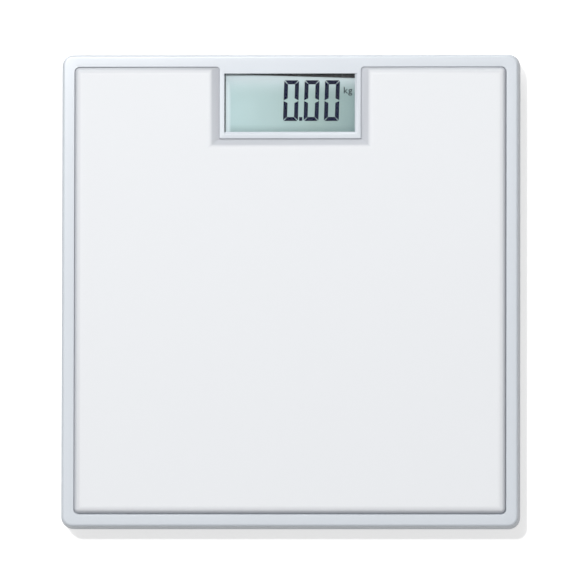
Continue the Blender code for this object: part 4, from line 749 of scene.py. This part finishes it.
def build_slab():
    """The whole mat with its rounded, slightly crowned top, hollowed below to sit on its seat."""
    low, corner_left, corner_spot, crown_step = Z_MOAT + GAP, 0.03, 0.5, 1.0
    bm = bmesh.new()
    sides = oblong(LEFT_GAP - RECESS_X, RECESS_X - GAP, FRONT_GAP - RECESS_Y, RECESS_Y - REAR_GAP)
    slab = plate(bm, sides, low, [MAT_CORNER] * 4, steps=12)
    hollow = tread_corners(SEAT_INSET - GAP, SEAT_OFF_BEZEL - GAP)
    under = plate(bm, hollow, low, [SEAT_RADIUS] * 8, steps=3, under=True)
    # The round is drawn in a little less than the corners' radius, so that they don't cross, and
    # what is left of each corner then becomes one point
    inwards_share = (MAT_CORNER - corner_left) / MAT_ROUND
    upwards_share = 1 - MAT_CROWN / MAT_ROUND
    rounded = [
        (inwards * inwards_share, upwards * upwards_share)
        for inwards, upwards in quarter(MAT_ROUND, steps=10)
    ]
    climb(bm, slab, [(0.0, Z_TOP - MAT_ROUND - low)] + rounded)
    bmesh.ops.remove_doubles(bm, verts=slab.verts[:], dist=corner_spot * MM)
    top = max(bm.faces, key=lambda face: face.calc_center_median().z)
    climb(bm, top, [(crown_step, MAT_CROWN * 0.8), (crown_step, MAT_CROWN * 0.2)])
    climb(bm, under, [(0.0, Z_PLATEAU - Z_MOAT)])
    close_level(bm, low, -1)
    return to_object("tread", bm, turn_out=False)


def build_notch():
    """What is cut from the mat for the bezel: a well with slopes that widen as they rise."""
    past_rear, depth = 20, 4
    # Share of the slope's width and rise at each level, rounding over into the top and past it
    levels = ((0.80, 0.80), (0.88, 0.87), (0.97, 0.93), (1.07, 0.97), (1.2, 1.002), (1.2, 1.5))
    low = Z_TOP - MAT_SLOPE
    left, right = BEZEL_LEFT - NOTCH_LEFT_GAP, BEZEL_RIGHT + NOTCH_RIGHT_GAP
    front, rear = BEZEL_Y - NOTCH_FRONT_GAP, RECESS_Y + past_rear
    bm = bmesh.new()
    sides = oblong(left, right, front, rear)
    floor = plate(bm, sides, low, [BEZEL_CORNER, BEZEL_CORNER, 0, 0], steps=4)
    upper = set(bm.verts)
    thicken(bm, [floor], -depth)
    ring = [edge for edge in bm.edges if all(vert in upper for vert in edge.verts)]
    drop(bm, floor)
    for share, rise in levels:
        made = bmesh.ops.extrude_edge_only(bm, edges=ring)
        ring = of_kind(made, bmesh.types.BMEdge)
        left_now, right_now = left - MAT_SIDE * share, right + MAT_SIDE * share
        for vert in of_kind(made, bmesh.types.BMVert):
            vert.co.z = (low + MAT_SLOPE * rise) * MM
            vert.co.x = (left_now if vert.co.x < 0 else right_now) * MM
            if vert.co.y < (front + rear) / 2 * MM:
                vert.co.y = (front - MAT_FRONT * share) * MM
    bmesh.ops.holes_fill(bm, edges=[edge for edge in bm.edges if edge.is_boundary], sides=0)
    return to_object("tread_notch", bm)


def build_tread():
    """The mat with the bezel's place cut out of it."""
    tread = build_slab()
    carve(tread, build_notch())
    fit(tread, tread_rubber, "housing", ["tread_mat"])


# Display

def build_window():
    """The pane, and the foam gasket under it."""
    bm = bmesh.new()
    pane = plate(bm, centred(LENS_X, LENS_Y, WINDOW_Y), Z_LENS, [LENS_CORNER] * 4, steps=4)
    thicken(bm, [pane], LENS_THICK)
    fit(to_object("window_pane", bm), acrylic, "housing", ["display_window"])

    bm = bmesh.new()
    outer = plate(bm, centred(LENS_X, LENS_Y, WINDOW_Y), Z_GASKET, [LENS_CORNER] * 4, steps=4)
    # The slanted rear edge shows foam that is partly painted shade.
    view = [
        (-GASKET_VIEW_X, GASKET_VIEW_FRONT), (GASKET_VIEW_X, GASKET_VIEW_FRONT),
        (GASKET_VIEW_X, GASKET_REAR_RIGHT), (-GASKET_VIEW_X, GASKET_REAR_LEFT),
    ]
    inner = plate(bm, view, Z_GASKET, [0] * 4, under=True)
    for wall in (outer, inner):
        climb(bm, wall, [(0.0, GASKET_THICK)])
        drop(bm, wall)
    close_level(bm, Z_GASKET, -1)
    close_level(bm, Z_GASKET + GASKET_THICK)
    fit(to_object("gasket", bm), black_foam, "housing", ["lcd_gasket"])


def ink(bm, corners):
    """A flat patch of ink on the panel."""
    bm.faces.new([bm.verts.new((x * MM, y * MM, Z_INK * MM)) for x, y in corners])


def draw_nought(bm, centre_x):
    """The six dark segments of a nought, with slits between them and notches at half height."""
    wide, tall, stroke, notch, half_gap, slit, corner = 5.12, 14.0, 2.75, 1.35, 0.25, 0.09, 0.4
    lean = math.tan(math.radians(DIGIT_SLANT))
    for up in (1, -1):
        bars = [[
            (-wide + slit + corner, tall), (wide - slit - corner, tall),
            (wide - stroke - slit, tall - stroke), (-wide + stroke + slit, tall - stroke),
        ]]
        for side in (1, -1):
            bars.append([
                (side * wide, tall - slit - corner),
                (side * wide, half_gap),
                (side * (wide - stroke), half_gap + notch),
                (side * (wide - stroke), tall - stroke - slit),
            ])
        for bar in bars:
            ink(bm, [(centre_x + x + up * y * lean, DIGITS_Y + up * y) for x, y in bar])


def unit_letters():
    """The unit as a flat mesh, in millimetres."""
    curve = bpy.data.curves.new("unit_letters", "FONT")
    curve.body = "kg"
    curve.size = LETTERS_SIZE
    curve.offset = 0.04
    curve.space_character = 1.12
    curve.align_x = "CENTER"
    curve.resolution_u = 4
    text = new_object("unit_letters_curve", curve)
    graph = bpy.context.evaluated_depsgraph_get()
    mesh = bpy.data.meshes.new_from_object(text.evaluated_get(graph))
    bpy.data.objects.remove(text)
    return mesh


def build_ink():
    """The reading's digits and dot, and its unit."""
    bm = bmesh.new()
    for centre_x in DIGITS_X:
        draw_nought(bm, centre_x)
    ink(bm, oblong(*DOT))
    thicken(bm, bm.faces[:], INK_THICK)
    fit(to_object("display_digits", bm), segment_ink, "housing")

    bm = bmesh.new()
    bm.from_mesh(unit_letters())
    place = Matrix.Translation((LETTERS_X * MM, LETTERS_Y * MM, Z_INK * MM)) @ Matrix.Scale(MM, 4)
    bmesh.ops.transform(bm, matrix=place, verts=bm.verts[:])
    bmesh.ops.remove_doubles(bm, verts=bm.verts[:], dist=SAME_SPOT)
    thicken(bm, bm.faces[:], INK_THICK)
    fit(to_object("display_letters", bm), letter_ink, "housing")


# Underside

def build_feet():
    """Cups that rise with the load, and the grooved pads in them."""
    for corner, spot in FOOT_SPOTS.items():
        body = f"foot_{corner}"
        for name, profile, material, slot, node in (
                ("foot_cup", CUP_PROFILE, natural_abs, "natural_abs", body),
                ("foot_tread", PAD_PROFILE, black_rubber, "black_rubber", f"foot_pad_{corner}")):
            bm = bmesh.new()
            lathe(bm, profile, spot)
            fit(to_object(f"{name}_{corner}", bm), material, body, [node])


def build_screws():
    """Pan heads with a cross recess, each turned on from the last."""
    bm = bmesh.new()
    lathe(bm, SCREW_PROFILE, steps=40)
    head = to_object("screw_head", bm)
    bm = bmesh.new()
    for turn in (0, 1):
        made = block(bm, CROSS_LOW, CROSS_HIGH)
        quarter_turn = Matrix.Rotation(turn * math.pi / 2, 3, "Z")
        bmesh.ops.rotate(bm, verts=made, cent=(0, 0, 0), matrix=quarter_turn)
    carve(head, to_object("screw_cross", bm), crossing=True)
    for name in [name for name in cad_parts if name.startswith("base_screw_")]:
        low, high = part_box(name)
        bm = bmesh.new()
        bm.from_mesh(head.data)
        turn = Matrix.Rotation(math.radians(SCREW_TURN * int(name[-1])), 4, "Z")
        spot = ((low.x + high.x) / 2, (low.y + high.y) / 2, low.z - SCREW_LOW * MM)
        bmesh.ops.transform(bm, matrix=Matrix.Translation(spot) @ turn, verts=bm.verts[:])
        screw = to_object(name + "_cross_head", bm)
        fit(screw, zinc_steel, "housing", [name])
    bpy.data.objects.remove(head)


def build_button():
    """The unit key with its dished cap, which stands in a hole of the base."""
    low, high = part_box("unit_button")
    spot = ((low.x + high.x) / 2 / MM, (low.y + high.y) / 2 / MM)
    stem = [(KEY_PROFILE[-1][0], high.z / MM), (0, high.z / MM)]
    bm = bmesh.new()
    lathe(bm, KEY_PROFILE + stem, spot, steps=48)
    fit(to_object("unit_key", bm), grey_rubber, "unit_button", ["unit_button"])


def build_door():
    """The battery door, and the ribs that a finger grips it by."""
    softened("battery_door", base_abs, "battery_door", width=0.2)
    bm = bmesh.new()
    for row in range(RIB_ROWS):
        y = RIB_FIRST_Y - RIB_PITCH * row
        made = block(bm, (-RIB_X, y - RIB_Y, RIB_LOW), (RIB_X, y + RIB_Y, RIB_HIGH))
        middle = (RIB_LOW + RIB_HIGH) / 2 * MM
        lower = [
            edge for edge in bm.edges
            if set(edge.verts) <= set(made) and all(vert.co.z < middle for vert in edge.verts)
        ]
        bmesh.ops.bevel(
            bm,
            geom=lower,
            offset=RIB_ROUND * MM,
            segments=3,
            profile=0.5,
            affect="EDGES",
            material=-1,
        )
    fit(to_object("door_grip_ribs", bm), base_abs, "battery_door")


# Solids that keep their shape: finish, its slot, width of the eased edges, and their nodes
PLAIN = [
    (base_abs, "base_abs", 0.25, "base_cover"),
    (zinc_steel, "zinc_steel", 0.2, "chassis_plate"),
    (board_laminate, "board_laminate", 0.1, "circuit_board"),
    (black_epoxy, "black_epoxy", 0, "controller_chip"),
    (black_epoxy, "black_epoxy", 0.15, "tact_switch"),
    (nickel_plate, "nickel_plate", 0.4, "crystal_can"),
    (printed_sleeve, "printed_sleeve", 0.15, "capacitor"),
    (natural_abs, "natural_abs", 0.15, "lcd_holder"),
    (grey_rubber, "grey_rubber", 0.1, "zebra_strip_front", "zebra_strip_rear"),
    (nickel_plate, "nickel_plate", 0.05, "contact_positive"),
    (nickel_plate, "nickel_plate", 0, "contact_negative"),
    (nickel_plate, "nickel_plate", 0, "contact_link_1", "contact_link_2", "contact_link_3"),
    (printed_sleeve, "printed_sleeve", 0.15, "battery_1", "battery_2", "battery_3", "battery_4"),
    (red_pvc, "red_pvc", 0, "battery_lead_positive"),
    (black_pvc, "black_pvc", 0, "battery_lead_negative"),
]
for corner in FOOT_SPOTS:
    PLAIN += [
        (cell_steel, "cell_steel", 0.1, f"load_cell_{corner}"),
        (white_silicone, "white_silicone", 0.2, f"gauge_coat_{corner}"),
        (natural_abs, "natural_abs", 0.2, f"cell_holder_{corner}"),
        (grey_pvc, "grey_pvc", 0, f"cell_lead_{corner}"),
    ]


# Room: floor, light and camera

def backdrop_seen(tree):
    """1 for rays that show the backdrop itself: from the camera, off gloss or through glass."""
    ray = add(tree, "ShaderNodeLightPath")
    seen = ray.outputs["Is Camera Ray"]
    for other in ("Is Glossy Ray", "Is Transmission Ray"):
        either = add(
            tree, "ShaderNodeMath", {"operation": "MAXIMUM"}, _0=seen, _1=ray.outputs[other])
        seen = either.outputs[0]
    return seen


def build_floor():
    """A pale floor, white to the camera, that keeps the scale's shadow and is open from below."""
    lift_strength, half_size = 0.55, 12.0
    material, tree = empty_material("floor_white_paper")
    facing = add(tree, "ShaderNodeNewGeometry")
    front = add(
        tree,
        "ShaderNodeMath",
        {"operation": "SUBTRACT"},
        _0=1.0,
        _1=facing.outputs["Backfacing"],
    )
    shown = add(
        tree,
        "ShaderNodeMath",
        {"operation": "MULTIPLY"},
        _0=backdrop_seen(tree),
        _1=front.outputs[0],
    )
    paper = add(tree, "ShaderNodeBsdfDiffuse", Color=linear("#D4D4D4"))
    lift = add(tree, "ShaderNodeEmission", Color=linear("#FFFFFF"), Strength=lift_strength)
    both = add(tree, "ShaderNodeAddShader", _0=paper.outputs[0], _1=lift.outputs[0])
    clear = add(tree, "ShaderNodeBsdfTransparent")
    mixed = add(
        tree,
        "ShaderNodeMixShader",
        _0=shown.outputs[0],
        _1=clear.outputs[0],
        _2=both.outputs[0],
    )
    add(tree, "ShaderNodeOutputMaterial", Surface=mixed.outputs[0])
    bm = bmesh.new()
    bmesh.ops.create_grid(bm, x_segments=1, y_segments=1, size=half_size)
    mesh = bpy.data.meshes.new("floor")
    bm.to_mesh(mesh)
    bm.free()
    mesh.materials.append(material)
    floor = new_object("floor", mesh)


def build_light():
    """An even room that is white to look at, a small sun for the shadow, and two cards."""
    room_light, room_seen = 0.37, 1.0
    world = bpy.data.worlds.new("studio")
    bpy.context.scene.world = world
    world.use_nodes = True
    tree = world.node_tree
    tree.nodes.clear()
    strength = add(
        tree,
        "ShaderNodeMapRange",
        Value=backdrop_seen(tree),
        To_Min=room_light,
        To_Max=room_seen,
    )
    sky = add(
        tree, "ShaderNodeBackground", Color=linear("#FFFFFF"), Strength=strength.outputs["Result"])
    add(tree, "ShaderNodeOutputWorld", Surface=sky.outputs[0])

    lamp = bpy.data.lights.new("key", "SUN")
    lamp.energy = 1.40
    lamp.angle = math.radians(2)
    falls = Vector((0.17, -0.23, -1.0))
    key = new_object("key", lamp)
    key.rotation_euler = falls.to_track_quat("-Z", "Y").to_euler()

    # Name, size and place in metres, watts, and whether it shows in gloss alone
    for name, size, place, power, in_gloss_only in (
            ("fill_softbox", (1.8, 1.8), Vector((-0.6, 1.75, 1.2)), 26.0, False),
            ("gloss_card", (0.44, 0.24), Vector((-0.22, 0.38, 0.8)), 4.0, True)):
        lamp = bpy.data.lights.new(name, "AREA")
        lamp.shape = "RECTANGLE"
        lamp.size, lamp.size_y = size
        lamp.energy = power
        card = new_object(name, lamp)
        card.location = place
        card.rotation_euler = (-place).to_track_quat("-Z", "Y").to_euler()
        card.visible_camera = False
        card.visible_diffuse = not in_gloss_only


def build_camera():
    """A long lens 8.5 m off, leaning a little to the right and the front, as in the photograph."""
    distance, width_seen, sensor = 8.5, 0.3993, 36.0
    lean_x, lean_y, roll = math.radians(2.2), math.radians(3.3), math.radians(0.1)
    aim = Vector((0.62, -0.31, Z_RIM)) * MM
    towards = Vector((math.sin(lean_x), -math.sin(lean_y), 0))
    towards.z = math.sqrt(1 - towards.length_squared)
    lens = bpy.data.cameras.new("camera")
    lens.sensor_width = sensor
    lens.lens = sensor * distance / width_seen
    lens.clip_start, lens.clip_end = 0.1, 100.0
    camera = new_object("camera", lens)
    camera.location = aim + towards * distance
    right = Vector((-math.sin(roll), math.cos(roll), 0)).cross(towards).normalized()
    up = towards.cross(right)
    camera.rotation_euler = Matrix((right, up, towards)).transposed().to_euler()
    bpy.context.scene.camera = camera


# Everything in its order: pieces from the top down, then the room

build_platform()
build_tread()
build_window()
softened("lcd_panel", lcd_glass, "housing", width=0.1)
build_ink()
build_feet()
build_screws()
build_button()
build_door()
for material, slot, width, *nodes in PLAIN:
    for node in nodes:
        softened(node, material, "housing", width, PLAIN_SHARP)
softened("switch_plunger", black_epoxy, "unit_button", width=0.15, sharp=PLAIN_SHARP)

build_floor()
build_light()
build_camera()
bpy.context.scene.view_settings.view_transform = "Standard"
